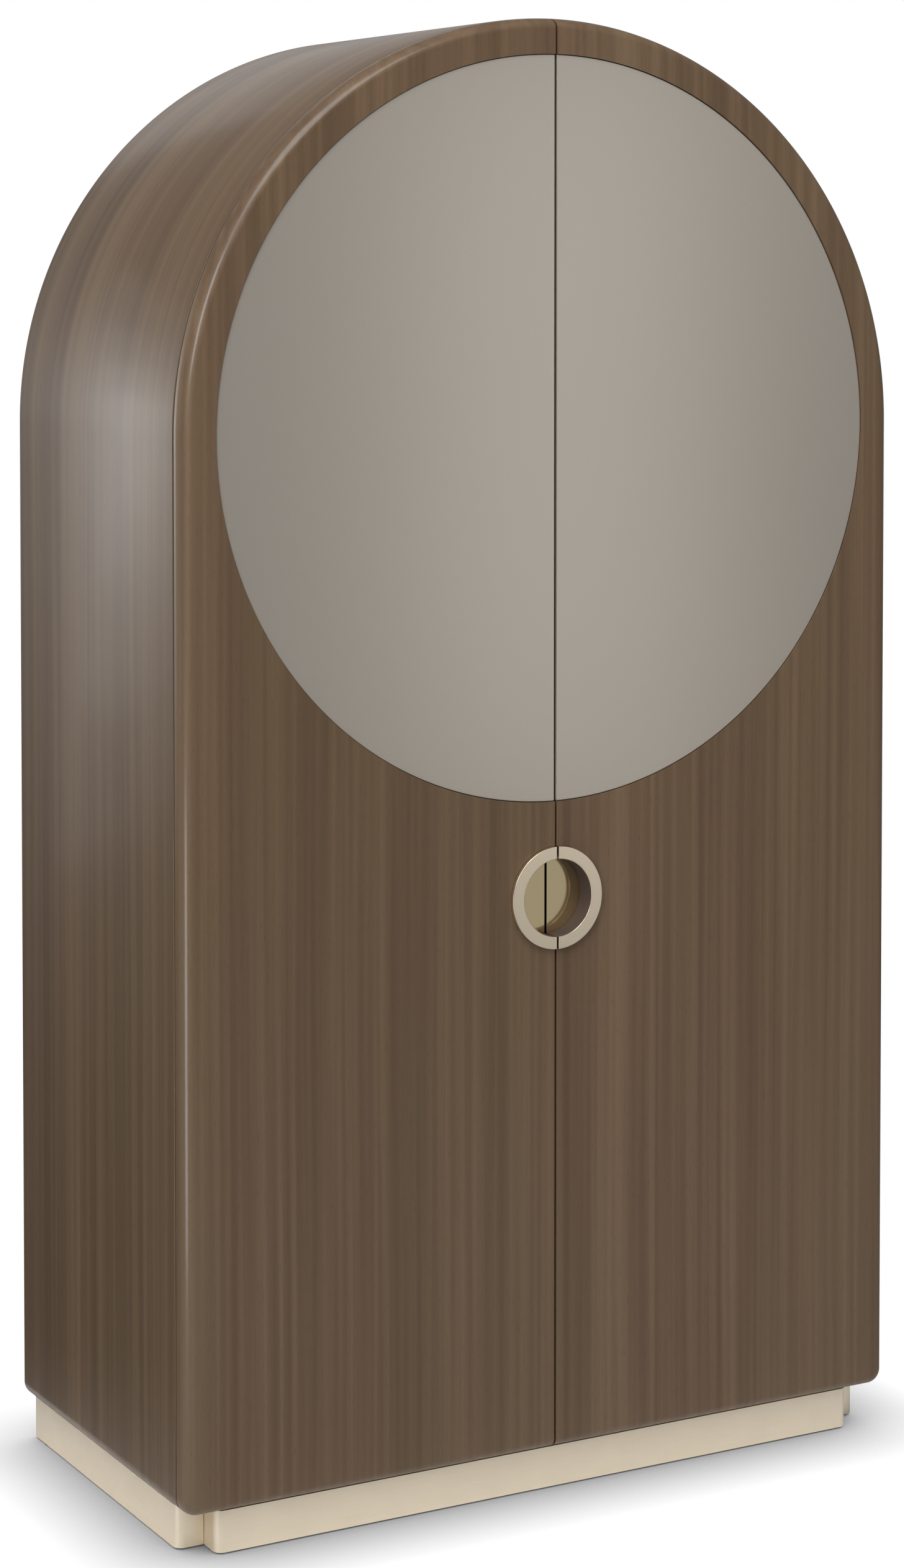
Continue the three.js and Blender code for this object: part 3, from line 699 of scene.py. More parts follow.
def ease(made, width, segments=3):
    """Rounds the sharp edges and keeps the broad faces flat."""
    made.data.shade_smooth()
    bevel = made.modifiers.new("eased edges", "BEVEL")
    bevel.width = width
    bevel.segments = segments
    bevel.limit_method = "ANGLE"
    bevel.angle_limit = math.radians(SHARP_ANGLE)
    weighted = made.modifiers.new("flat faces", "WEIGHTED_NORMAL")
    weighted.weight = 100
    weighted.keep_sharp = True
    return plain_mesh(made)


def cut_with(made, *cutters):
    """Cuts shapes out of a piece, and removes the cutters."""
    for cutter in cutters:
        boolean = made.modifiers.new("cut", "BOOLEAN")
        boolean.operation = "DIFFERENCE"
        boolean.solver = "EXACT"
        boolean.object = cutter
    plain_mesh(made)
    for cutter in cutters:
        bpy.data.objects.remove(cutter)
    return made


def give_grain(made, way):
    """Stores the grain coordinate: way turns a point into (across, across, along)."""
    attribute = made.data.attributes.new("grain", "FLOAT_VECTOR", "POINT")
    values = [part for vert in made.data.vertices for part in way(vert.co)]
    attribute.data.foreach_set("vector", values)
    return made


def present(made, body, slot, material, *nodes):
    """Gives a finished piece its material and its body, and hides the nodes that it stands for."""
    made.data.materials.clear()
    made.data.materials.append(material)
    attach(made, body)
    if nodes:
        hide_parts(*nodes)
    print(made.name, "on", body, "faces:", len(made.data.polygons))
    return made


SIDES = (("right", 1), ("left", -1))
LEVELS = ("lower", "middle", "upper")
print("mesh helpers ready")

# %% [markdown]
# ## The shell: sides and arch in one sweep
# The two sides and the half-round top are veneered as one: the leaf runs up one
# side, over the arch and down the other with no joint to be seen. So the shell
# is one cross-section that follows one path, which is a rule for Geometry Nodes:
# the path comes in as a line, a small rounded rectangle is the section, and Curve
# to Mesh carries it along. Thickness, depth and edge are inputs of the tree.

# %% Geometry Nodes: a board that follows a path
swept, swept_in, swept_out = new_group(
    "swept board",
    "GeometryNodeTree",
    [
        ("Geometry", GEOMETRY, None),
        ("Thickness", FLOAT, 0.02),
        ("Depth", FLOAT, 0.5),
        ("Edge Radius", FLOAT, 0.001),
        ("Edge Steps", WHOLE, 4),
        ("Material", MATERIAL, None),
    ],
    [("Geometry", GEOMETRY)],
)
swept_path = add(swept, "GeometryNodeMeshToCurve", {"Mesh": swept_in["Geometry"]})
swept_normal = add(
    swept, "GeometryNodeSetCurveNormal", {"Curve": swept_path.outputs["Curve"]}, mode="Z_UP"
)
swept_section = add(
    swept,
    "GeometryNodeCurvePrimitiveQuadrilateral",
    {"Width": swept_in["Thickness"], "Height": swept_in["Depth"]},
)
swept_rounded = add(
    swept,
    "GeometryNodeFilletCurve",
    {
        "Curve": swept_section.outputs["Curve"],
        "Radius": swept_in["Edge Radius"],
        "Count": swept_in["Edge Steps"],
    },
    mode="POLY",
)
swept_mesh = add(
    swept,
    "GeometryNodeCurveToMesh",
    {
        "Curve": swept_normal.outputs["Curve"],
        "Profile Curve": swept_rounded.outputs["Curve"],
        "Fill Caps": True,
    },
)
swept_upright = add(
    swept,
    "GeometryNodeTransform",
    {"Geometry": swept_mesh.outputs["Mesh"], "Rotation": (math.pi / 2, 0, 0)},
)
finish_tree(swept, swept_in, swept_out, swept_upright.outputs["Geometry"])


def node_piece(name, tree, values, mesh):
    """An object whose mesh comes from a Geometry Nodes tree, made plain."""
    made = bpy.data.objects.new(name, mesh)
    scene.collection.objects.link(made)
    modifier = made.modifiers.new(tree.name, "NODES")
    modifier.node_group = tree
    for item in tree.interface.items_tree:
        if item.in_out == "INPUT" and item.name in values:
            modifier[item.identifier] = values[item.name]
    return plain_mesh(made)


def line_mesh(name, points, closed=False):
    """A mesh of edges that joins the points in a row."""
    line = bpy.data.meshes.new(name)
    last = len(points) if closed else len(points) - 1
    line.from_pydata(points, [], [])
    line.edges.add(last)
    for i, edge in enumerate(line.edges):
        edge.vertices = (i, (i + 1) % len(points))
    line.update()
    return line


print("swept board:", len(swept.nodes), "nodes")

# %% [markdown]
# ## Rows of holes
# Two rows of small holes on each inner face take the pins of the adjustable
# shelf. Holes repeat at a fixed pitch, so a second tree sets drills on a row of
# points and takes them out of the board with Mesh Boolean.

# %% Geometry Nodes: rows of drilled holes
rows, rows_in, rows_out = new_group(
    "rows of holes",
    "GeometryNodeTree",
    [
        ("Geometry", GEOMETRY, None),
        ("Lowest Hole", VECTOR, (0, 0, 0)),
        ("Row Gap", FLOAT, 0.3),
        ("Pitch", FLOAT, 0.032),
        ("Count", WHOLE, 5),
        ("Radius", FLOAT, 0.0028),
        ("Depth", FLOAT, 0.016),
        ("Material", MATERIAL, None),
    ],
    [("Geometry", GEOMETRY)],
)
drill = add(
    rows,
    "GeometryNodeMeshCylinder",
    {"Vertices": 24, "Radius": rows_in["Radius"], "Depth": rows_in["Depth"]},
)
row_points = add(
    rows,
    "GeometryNodeMeshLine",
    {
        "Count": rows_in["Count"],
        "Start Location": rows_in["Lowest Hole"],
        "Offset": add(rows, "ShaderNodeCombineXYZ", {"Z": rows_in["Pitch"]}).outputs[0],
    },
)
second_row = add(
    rows,
    "GeometryNodeTransform",
    {
        "Geometry": row_points.outputs["Mesh"],
        "Translation": add(rows, "ShaderNodeCombineXYZ", {"Y": rows_in["Row Gap"]}).outputs[0],
    },
)
both_rows = add(rows, "GeometryNodeJoinGeometry")
rows.links.new(row_points.outputs["Mesh"], both_rows.inputs["Geometry"])
rows.links.new(second_row.outputs["Geometry"], both_rows.inputs["Geometry"])
drills = add(
    rows,
    "GeometryNodeInstanceOnPoints",
    {
        "Points": both_rows.outputs["Geometry"],
        "Instance": drill.outputs["Mesh"],
        "Rotation": (0, math.pi / 2, 0),
    },
)
real_drills = add(rows, "GeometryNodeRealizeInstances", {"Geometry": drills.outputs["Instances"]})
drilled = add(
    rows,
    "GeometryNodeMeshBoolean",
    {"Mesh 1": rows_in["Geometry"]},
    operation="DIFFERENCE",
    solver="EXACT",
)
rows.links.new(real_drills.outputs["Geometry"], drilled.inputs["Mesh 2"])
finish_tree(rows, rows_in, rows_out, drilled.outputs["Mesh"])
print("rows of holes:", len(rows.nodes), "nodes")

# %% The shell
SHELL_EDGE_RADIUS = 1 * MM
PIN_PITCH = 32 * MM
PIN_HOLE_RADIUS, PIN_HOLE_DEPTH = 2.8 * MM, 16 * MM
HOLES_PER_ROW = 5
MERGE_GAP = 0.02 * MM

middle_radius = HALF_WIDTH - PANEL / 2
corner_x, corner_z = HALF_WIDTH - CORNER_RADIUS, BASE_Z + CORNER_RADIUS
corner_middle = CORNER_RADIUS - PANEL / 2
shell_path = [
    *arc(corner_x, corner_z, corner_middle, -90, 0, 20),
    *arc(0, SPRING_Z, middle_radius, 0, 180, 256),
    *arc(-corner_x, corner_z, corner_middle, 180, 270, 20),
]
shell = node_piece(
    "veneered_shell",
    swept,
    {
        "Thickness": PANEL,
        "Depth": BACK_Y - CARCASS_FRONT_Y,
        "Edge Radius": SHELL_EDGE_RADIUS,
        "Edge Steps": 4,
        "Material": veneer,
    },
    line_mesh("shell_path", [(x, z, 0) for x, z in shell_path]),
)
for vert in shell.data.vertices:
    vert.co.y += (CARCASS_FRONT_Y + BACK_Y) / 2

front_pin_low, front_pin_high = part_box("right_front_shelf_pin")
rear_pin_low, rear_pin_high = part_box("right_rear_shelf_pin")
front_pin_y = (front_pin_low.y + front_pin_high.y) / 2
rear_pin_y = (rear_pin_low.y + rear_pin_high.y) / 2
lowest_hole_z = (front_pin_low.z + front_pin_high.z) / 2 - PIN_PITCH * (HOLES_PER_ROW - 1) / 2
for hand, sign in SIDES:
    drilled_shell = node_piece(
        hand + "_drilled",
        rows,
        {
            "Lowest Hole": (sign * INSIDE_X, front_pin_y, lowest_hole_z),
            "Row Gap": rear_pin_y - front_pin_y,
            "Pitch": PIN_PITCH,
            "Count": HOLES_PER_ROW,
            "Radius": PIN_HOLE_RADIUS,
            "Depth": PIN_HOLE_DEPTH,
            "Material": veneer,
        },
        shell.data,
    )
    bpy.data.objects.remove(shell)
    shell = drilled_shell
shell.name = "veneered_shell"
# The inside of the foot's corner has no radius, so the section's points meet there.
joined = bmesh.new()
joined.from_mesh(shell.data)
bmesh.ops.remove_doubles(joined, verts=joined.verts, dist=MERGE_GAP)
bmesh.ops.dissolve_degenerate(joined, edges=joined.edges, dist=MERGE_GAP)
print("open edges in the shell:", sum(not edge.is_manifold for edge in joined.edges))
joined.to_mesh(shell.data)
joined.free()
shell.data.shade_smooth()
shell.data.set_sharp_from_angle(angle=math.radians(50))


def wrapped_grain(point):
    """Runs up the right side, over the arch and down the left side without a break."""
    if point.z > SPRING_Z:
        angle = math.atan2(point.z - SPRING_Z, point.x)
        radius = math.hypot(point.x, point.z - SPRING_Z)
        return (point.y, radius, SPRING_Z + angle * HALF_WIDTH)
    if point.x > 0:
        return (point.y, point.x, point.z)
    return (point.y, -point.x, 2 * SPRING_Z + math.pi * HALF_WIDTH - point.z)


give_grain(shell, wrapped_grain)
present(shell, "carcass", "veneer", veneer, "arch_top", "left_side", "right_side")
print("shell box:", [round(v, 4) for v in shell.dimensions])

# %% [markdown]
# ## Bottom, back and shelves
# These are plain boards, so a closed outline with a thickness and eased edges is
# all they need. The back follows the inside of the arch. What makes them read as
# wood is the direction of the grain: it runs up the back, and from side to side
# along the bottom and the shelves.

# %% Bottom, back and shelves
def box_outline(low, high):
    return [(low.x, low.y), (high.x, low.y), (high.x, high.y), (low.x, high.y)]


def along_x(point):
    return (point.y, point.z, point.x)


def along_z(point):
    return (point.x, point.y, point.z)


for name, node, slot, material in (
    ("bottom_board", "bottom_panel", "veneer", veneer),
    ("fixed_shelf_board", "fixed_shelf", "inside_wood", inside_wood),
    ("adjustable_shelf_board", "adjustable_shelf", "inside_wood", inside_wood),
):
    low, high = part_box(node)
    if node == "bottom_panel":
        high.x = corner_x - FIT
        low.x = -high.x
    board = ease(slab_z(name, box_outline(low, high), low.z, high.z), 0.8 * MM)
    give_grain(board, along_x)
    present(board, "carcass", slot, material, node)

back_outline = [
    (-back_high.x, back_low.z),
    (back_high.x, back_low.z),
    *arc(0, SPRING_Z, back_high.x, 0, 180, 160),
]
back = ease(slab_y("back_board", back_outline, back_low.y, back_high.y), 0.5 * MM, 2)
give_grain(back, along_z)
present(back, "carcass", "inside_wood", inside_wood, "back_panel")

# %% [markdown]
# ## The doors
# A door starts as half of the armoire's outline. Its outer front edge is rounded
# over in an oval, deeper than it is wide, its back edge is only softened, and its
# seam edge is square.
# Stacking outlines that shrink towards the front makes the rounding exactly.
# Then the door is worked as a joiner would: a shallow round pocket is routed for
# the inlay, a seat and a bore are cut for the pull, and three blind holes are
# bored in the back for the hinge cups. Booleans cut these cleanly, because every
# cut lands on a flat face.

# %% Door blank and cutters
def half_outline(inset):
    """The right half of the outline, from the crown down to the bottom, at the seam."""
    radius = HALF_WIDTH - inset
    corner = CORNER_RADIUS - inset
    top_angle = math.degrees(math.acos(SEAM_X / radius))
    return [
        *arc(0, SPRING_Z, radius, top_angle, 0, 128),
        *arc(HALF_WIDTH - CORNER_RADIUS, BASE_Z + CORNER_RADIUS, corner, 0, -90, 16),
        (SEAM_X, BASE_Z + inset),
    ]


def edge_steps():
    """(inset, y) pairs round the front edge, along the side and round the back edge."""
    front = [
        (EDGE_INSET * (1 - math.sin(t)), DOOR_FRONT_Y + EDGE_DEPTH * (1 - math.cos(t)))
        for t in (math.radians(a) for a in range(0, 91, 6))
    ]
    back = [
        (BACK_EDGE_RADIUS * (1 - math.cos(t)), DOOR_BACK_Y - BACK_EDGE_RADIUS * (1 - math.sin(t)))
        for t in (math.radians(a) for a in range(0, 91, 30))
    ]
    return front + back


def drum(name, x, z, radius, y0, y1, steps):
    return slab_y(name, circle(x, z, radius, steps), y0, y1)


CUT = 5 * MM
GROOVE = 0.6 * MM
SEAT_DEPTH = 3 * MM
CUP_RADIUS = 17.5 * MM
CUP_FROM_EDGE = 3 * MM
FINE_STEPS, ROUND_STEPS = 360, 144
pocket_floor = inlay_high.y + FIT
cup_boxes = [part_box("right_" + level + "_hinge_cup") for level in LEVELS]
cup_x = HALF_WIDTH - CUP_FROM_EDGE - CUP_RADIUS
seat_floor = DOOR_FRONT_Y + SEAT_DEPTH
front, behind = DOOR_FRONT_Y - CUT, DOOR_BACK_Y + CUT
for hand, sign in SIDES:
    rings = [[(x, y, z) for x, z in half_outline(inset)] for inset, y in edge_steps()]
    door = stack(hand + "_door_leaf", rings)
    cutters = [
        drum("pocket", 0, SPRING_Z, INLAY_RADIUS + GROOVE, front, pocket_floor, FINE_STEPS),
        drum("seat", 0, PULL_Z, RING_RADIUS + FIT, front, seat_floor, ROUND_STEPS),
        drum("bore", 0, PULL_Z, BORE_RADIUS, front, behind, ROUND_STEPS),
    ]
    for low, high in cup_boxes:
        z = (low.z + high.z) / 2
        cutters.append(drum("cup hole", cup_x, z, CUP_RADIUS + FIT, low.y - FIT, behind, 64))
    cut_with(door, *cutters)
    mirror_mesh(door, sign)
    ease(door, 0.5 * MM, 3)
    give_grain(door, along_z)
    present(door, hand + "_door", "veneer", veneer, hand + "_door")
    # The bore's wall is painted dark brown, which also paints the shade inside the bore.
    paint_bore_and_shade(door, BORE_RADIUS)

# %% [markdown]
# ## The round inlay
# The inlay is a thin disc, sawn down the middle so that each door carries half.
# It sits in its pocket a little below the doors' faces, with a narrow groove
# round it that reads as a fine dark line. Its rim is eased, which gives the thin
# light line beside the groove.

# %% The inlay's two halves
for hand, sign in SIDES:
    disc = drum(
        hand + "_inlay_half", 0, SPRING_Z, INLAY_RADIUS, inlay_low.y, inlay_high.y, FINE_STEPS
    )
    mirror_mesh(cut_at_seam(disc), sign)
    ease(disc, 0.9 * MM, 3)
    present(disc, hand + "_door", "inlay_lacquer", taupe_lacquer, hand + "_inlay")

# %% [markdown]
# ## The pull
# A ring of brushed metal is let into the two doors, and fingers reach through it
# to hook behind its edge. Behind the bore a polished plate closes each door's
# back. Both are bodies of revolution cut at the seam: the ring has a flat face
# with eased edges, and the plate is a thin disc.

# %% Ring and backplates
def facing_front(x, z, height):
    return (x, DOOR_FRONT_Y - height, PULL_Z + z)


ring_depth = ring_high.y - DOOR_FRONT_Y
ring_proud = DOOR_FRONT_Y - ring_low.y
for hand, sign in SIDES:
    ring = turned(
        hand + "_ring",
        [
            (RING_INNER_RADIUS, -ring_depth),
            (RING_RADIUS, -ring_depth),
            (RING_RADIUS, ring_proud),
            (RING_INNER_RADIUS, ring_proud),
        ],
        ROUND_STEPS,
        facing_front,
    )
    mirror_mesh(cut_at_seam(ring), sign)
    ease(ring, 1.1 * MM, 4)
    present(ring, hand + "_door", "champagne_metal", champagne, hand + "_pull_ring")
    # The ring's inner wall gets the bore's dark brown as painted shade over its metal.
    paint_bore_and_shade(ring, RING_INNER_RADIUS)

    plate = drum(
        hand + "_backplate",
        0,
        PULL_Z,
        backplate_high.x,
        backplate_low.y,
        backplate_high.y,
        ROUND_STEPS,
    )
    mirror_mesh(cut_at_seam(plate), sign)
    ease(plate, 0.4 * MM, 2)
    present(plate, hand + "_door", "polished_champagne", polished, hand + "_pull_backplate")

# %% [markdown]
# ## The plinth
# The plinth is four boards faced with champagne leaf. Its front corners step back,
# so the front board returns backwards at each end and the side boards return
# inwards. Each vertical corner is rounded, and the outline is drawn from above and
# given its height. A shallow rebate keeps the front board clear of the doors.

# %% Plinth boards
front_low, front_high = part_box("plinth_front")
flank_low, flank_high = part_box("plinth_right")
PLINTH_RADIUS = 12 * MM
WALL = 16 * MM
DOOR_AIR = 2 * MM


def plinth_board(name, outline, low, high, sign=1, cutter=None):
    board = slab_z(name, outline, low.z, high.z)
    if cutter:
        cut_with(board, cutter)
    mirror_mesh(board, sign)
    ease(board, 0.8 * MM, 3)
    return board


x, y = front_high.x, front_low.y
front_outline = [
    (-x, front_high.y),
    *arc(PLINTH_RADIUS - x, y + PLINTH_RADIUS, PLINTH_RADIUS, 180, 270, 16),
    *arc(x - PLINTH_RADIUS, y + PLINTH_RADIUS, PLINTH_RADIUS, -90, 0, 16),
    (x, front_high.y),
    (x - WALL, front_high.y),
    (x - WALL, y + WALL),
    (WALL - x, y + WALL),
    (WALL - x, front_high.y),
]
rebate = slab_z(
    "rebate",
    [(-1, DOOR_FRONT_Y), (1, DOOR_FRONT_Y), (1, CARCASS_FRONT_Y), (-1, CARCASS_FRONT_Y)],
    BASE_Z - DOOR_AIR,
    BASE_Z + DOOR_AIR,
)
board = plinth_board("plinth_front_board", front_outline, front_low, front_high, cutter=rebate)
present(board, "carcass", "champagne_plinth", plinth_leaf, "plinth_front")

flank_outline = [
    (flank_low.x, flank_low.y),
    *arc(flank_high.x - PLINTH_RADIUS, flank_low.y + PLINTH_RADIUS, PLINTH_RADIUS, -90, 0, 16),
    *arc(flank_high.x - PLINTH_RADIUS, flank_high.y - PLINTH_RADIUS, PLINTH_RADIUS, 0, 90, 16),
    (flank_high.x - WALL, flank_high.y),
    (flank_high.x - WALL, flank_low.y + WALL),
    (flank_low.x, flank_low.y + WALL),
]
for hand, sign in SIDES:
    board = plinth_board("plinth_" + hand + "_board", flank_outline, flank_low, flank_high, sign)
    present(board, "carcass", "champagne_plinth", plinth_leaf, "plinth_" + hand)

low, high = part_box("plinth_back")
board = plinth_board("plinth_back_board", box_outline(low, high), low, high)
present(board, "carcass", "champagne_plinth", plinth_leaf, "plinth_back")

# %% [markdown]
# ## Hanging rail and its sockets
# The rail is a tube that rests in a flanged socket at each end. Both are turned
# shapes laid along X, with enough steps round them to look round up close.

# %% Rail and sockets
rail_low, rail_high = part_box("hanging_rail")
rail_y, rail_z = (rail_low.y + rail_high.y) / 2, (rail_low.z + rail_high.z) / 2
RAIL_RADIUS = (rail_high.z - rail_low.z) / 2
RAIL_WALL = 1.5 * MM
RAIL_STEPS = 96
FLANGE_RADIUS, FLANGE_THICKNESS, FLANGE_CHAMFER = 25 * MM, 3 * MM, 1 * MM
SOCKET_WALL = 2.5 * MM


def along_rail(a, b, height):
    return (height, rail_y + a, rail_z + b)


tube = turned(
    "rail_tube",
    [
        (RAIL_RADIUS, rail_low.x),
        (RAIL_RADIUS, rail_high.x),
        (RAIL_RADIUS - RAIL_WALL, rail_high.x),
        (RAIL_RADIUS - RAIL_WALL, rail_low.x),
    ],
    RAIL_STEPS,
    along_rail,
)
ease(tube, 0.3 * MM, 2)
present(tube, "carcass", "nickel", nickel, "hanging_rail")

socket_low, socket_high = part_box("right_rail_socket")
for hand, sign in SIDES:
    base, mouth = socket_high.x, socket_low.x
    flange = base - FLANGE_THICKNESS
    inner = RAIL_RADIUS + FIT
    cup = turned(
        hand + "_rail_cup",
        [
            (0, base),
            (FLANGE_RADIUS, base),
            (FLANGE_RADIUS, flange + FLANGE_CHAMFER),
            (FLANGE_RADIUS - FLANGE_CHAMFER, flange),
            (inner + SOCKET_WALL, flange),
            (inner + SOCKET_WALL, mouth),
            (inner, mouth),
            (inner, flange + FIT),
            (0, flange + FIT),
        ],
        RAIL_STEPS,
        along_rail,
    )
    mirror_mesh(cup, sign)
    ease(cup, 0.4 * MM, 2)
    present(cup, "carcass", "nickel", nickel, hand + "_rail_socket")

# %% [markdown]
# ## Hinges, catches, pins and glides
# The small fittings have their exact shapes in the frame already, but their edges
# are sharp and their faces are split into triangles. A copy of each is merged,
# its flat faces are joined again, and its edges are eased as a stamped or moulded
# part's are. The copy then stands for the node.

# %% Small fittings
def eased_copy(node, width):
    bm = bmesh.new()
    bm.from_mesh(frame["nodes"][node].data)
    bmesh.ops.remove_doubles(bm, verts=bm.verts, dist=0.01 * MM)
    bmesh.ops.dissolve_limit(bm, angle_limit=math.radians(1), verts=bm.verts, edges=bm.edges)
    mesh = bpy.data.meshes.new(node + "_finished")
    bm.to_mesh(mesh)
    bm.free()
    made = bpy.data.objects.new(node + "_finished", mesh)
    scene.collection.objects.link(made)
    return ease(made, width, 2)


for hand, sign in SIDES:
    for level in LEVELS:
        hinge = hand + "_" + level + "_hinge_"
        for part, width, body, slot, material in (
            ("arm", 0.4 * MM, "carcass", "nickel", nickel),
            ("plate", 0.4 * MM, "carcass", "nickel", nickel),
            ("cup", 0.2 * MM, hand + "_door", "nickel", nickel),
            ("pin", 0.2 * MM, hand + "_door", "steel", zinc),
        ):
            fitting = eased_copy(hinge + part, width)
            present(fitting, body, slot, material, hinge + part)
    for node, width, body, slot, material in (
        ("_catch", 0.8 * MM, "carcass", "catch_plastic", plastic),
        ("_strike_plate", 0.3 * MM, hand + "_door", "steel", zinc),
        ("_front_shelf_pin", 0.4 * MM, "carcass", "nickel", nickel),
        ("_rear_shelf_pin", 0.4 * MM, "carcass", "nickel", nickel),
        ("_front_glide", 0.2 * MM, "carcass", "glide_nylon", plastic),
        ("_rear_glide", 0.2 * MM, "carcass", "glide_nylon", plastic),
    ):
        fitting = eased_copy(hand + node, width)
        present(fitting, body, slot, material, hand + node)

# %% [markdown]
# ## Screws
# Screws hold the hinges, strike plates, rail sockets and backplates, and a row of
# them runs round the back board. They are all alike, so Geometry Nodes put them
# down: each point of a mesh carries a "facing" direction, and the tree sets one
# head there, turned about its own axis by a seeded random angle, as a hand-driven
# row of screws is. For the back board a second tree first walks along an outline
# at a fixed spacing and makes the points itself. The screws in the hinge cups and
# strike plates are sunk, because the shut doors leave little room behind them.

# %% One screw head
def screw_head(name, radius, height):
    """A low domed head with a cross recess, standing on z = 0."""
    profile = [(0, -0.3 * height), (radius, -0.3 * height), (radius, 0.1 * height)]
    profile += [
        (radius * math.cos(t), height * (0.1 + 0.9 * math.sin(t)))
        for t in (math.radians(a) for a in (18, 36, 54, 72))
    ]
    profile += [(0, height)]
    head = turned(name, profile, 20, lambda a, b, h: (a, b, h))
    arm, half = 0.62 * radius, 0.13 * radius
    for outline in (
        [(-arm, -half), (arm, -half), (arm, half), (-arm, half)],
        [(-half, -arm), (half, -arm), (half, arm), (-half, arm)],
    ):
        cut_with(head, slab_z("slot", outline, 0.25 * height, 2 * height))
    return head


head = screw_head("screw_head", 3.4 * MM, 1.3 * MM)
head.data.shade_smooth()
head.data.set_sharp_from_angle(angle=math.radians(35))
print("one screw head has", len(head.data.polygons), "faces")

# %% Geometry Nodes: screws on points and round an outline
SCREW_INPUTS = [
    ("Geometry", GEOMETRY, None),
    ("Head", "NodeSocketObject", None),
    ("Seed", WHOLE, 1),
    ("Material", MATERIAL, None),
]


def set_heads(tree, inputs, outputs, points, rotation):
    """Sets a head on each point, spun about its own axis, and finishes the tree."""
    spin = add(
        tree, "FunctionNodeRandomValue", {"Seed": inputs["Seed"]}, data_type="FLOAT"
    )
    spin.inputs[2].default_value = 0.0
    spin.inputs[3].default_value = math.pi
    turn = add(
        tree,
        "FunctionNodeAxisAngleToRotation",
        {"Axis": (0, 0, 1), "Angle": spin.outputs[1]},
    )
    turned_by = add(
        tree,
        "FunctionNodeRotateRotation",
        {"Rotation": rotation, "Rotate By": turn.outputs[0]},
        rotation_space="LOCAL",
    )
    source = add(tree, "GeometryNodeObjectInfo", {"Object": inputs["Head"]})
    heads = add(
        tree,
        "GeometryNodeInstanceOnPoints",
        {
            "Points": points,
            "Instance": source.outputs["Geometry"],
            "Rotation": turned_by.outputs[0],
        },
    )
    finish_tree(tree, inputs, outputs, heads.outputs["Instances"])


point_screws, point_in, point_out = new_group(
    "screws on points", "GeometryNodeTree", SCREW_INPUTS, [("Geometry", GEOMETRY)]
)
facing = add(
    point_screws,
    "GeometryNodeInputNamedAttribute",
    {"Name": "facing"},
    data_type="FLOAT_VECTOR",
)
aligned = add(
    point_screws,
    "FunctionNodeAlignRotationToVector",
    {"Vector": facing.outputs["Attribute"]},
    axis="Z",
)
set_heads(point_screws, point_in, point_out, point_in["Geometry"], aligned.outputs[0])

outline_screws, outline_in, outline_out = new_group(
    "screws round an outline",
    "GeometryNodeTree",
    SCREW_INPUTS + [("Spacing", FLOAT, 0.15), ("Facing", VECTOR, (0, 1, 0))],
    [("Geometry", GEOMETRY)],
)
outline = add(outline_screws, "GeometryNodeMeshToCurve", {"Mesh": outline_in["Geometry"]})
walked = add(
    outline_screws,
    "GeometryNodeResampleCurve",
    {"Curve": outline.outputs["Curve"], "Length": outline_in["Spacing"]},
    mode="LENGTH",
)
outward = add(
    outline_screws,
    "FunctionNodeAlignRotationToVector",
    {"Vector": outline_in["Facing"]},
    axis="Z",
)
set_heads(outline_screws, outline_in, outline_out, walked.outputs["Curve"], outward.outputs[0])

# %% Where the screws go
DOOR_SCREW_SINK = 1.15 * MM
PLATE_SCREW_OFFSET, PLATE_THICKNESS = 15.5 * MM, 3 * MM
CUP_SCREW_OFFSET = 20.4 * MM
FLANGE_SCREW_REACH = 20.2 * MM
BACK_SCREW_INSET, BACK_SCREW_SPACING = 9 * MM, 160 * MM


def screw_places():
    """Points and directions for each body."""
    places = {"carcass": [], "left_door": [], "right_door": []}
    plate_reach = (BORE_RADIUS + backplate_high.x) / 2
    for hand, sign in SIDES:
        door = places[hand + "_door"]
        for level in LEVELS:
            hinge = hand + "_" + level + "_hinge_"
            low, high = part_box(hinge + "plate")
            centre = (low + high) / 2
            face_x = sign * (min(abs(low.x), abs(high.x)) + PLATE_THICKNESS)
            for dz in (-PLATE_SCREW_OFFSET, PLATE_SCREW_OFFSET):
                places["carcass"].append(((face_x, centre.y, centre.z + dz), (-sign, 0, 0)))
            cup_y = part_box(hinge + "cup")[1].y - DOOR_SCREW_SINK
            for dz in (-CUP_SCREW_OFFSET, CUP_SCREW_OFFSET):
                door.append(((sign * cup_x, cup_y, centre.z + dz), (0, 1, 0)))
        flange_x = sign * (socket_high.x - FLANGE_THICKNESS)
        for angle in (90, 210, 330):
            turn = math.radians(angle)
            y = rail_y + FLANGE_SCREW_REACH * math.cos(turn)
            z = rail_z + FLANGE_SCREW_REACH * math.sin(turn)
            places["carcass"].append(((flange_x, y, z), (-sign, 0, 0)))
        low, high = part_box(hand + "_strike_plate")
        centre = (low + high) / 2
        door.append(((centre.x, high.y - DOOR_SCREW_SINK, centre.z), (0, 1, 0)))
        for angle in (25, -25):
            turn = math.radians(angle)
            x, z = sign * plate_reach * math.cos(turn), PULL_Z + plate_reach * math.sin(turn)
            door.append(((x, backplate_high.y, z), (0, 1, 0)))
    return places


for body, places in screw_places().items():
    cloud = bpy.data.meshes.new(body + "_screw_points")
    cloud.from_pydata([place for place, _ in places], [], [])
    direction = cloud.attributes.new("facing", "FLOAT_VECTOR", "POINT")
    direction.data.foreach_set("vector", [part for _, way in places for part in way])
    screws = node_piece(
        body + "_screws", point_screws, {"Head": head, "Seed": 7, "Material": zinc}, cloud
    )
    present(screws, body, "steel", zinc)

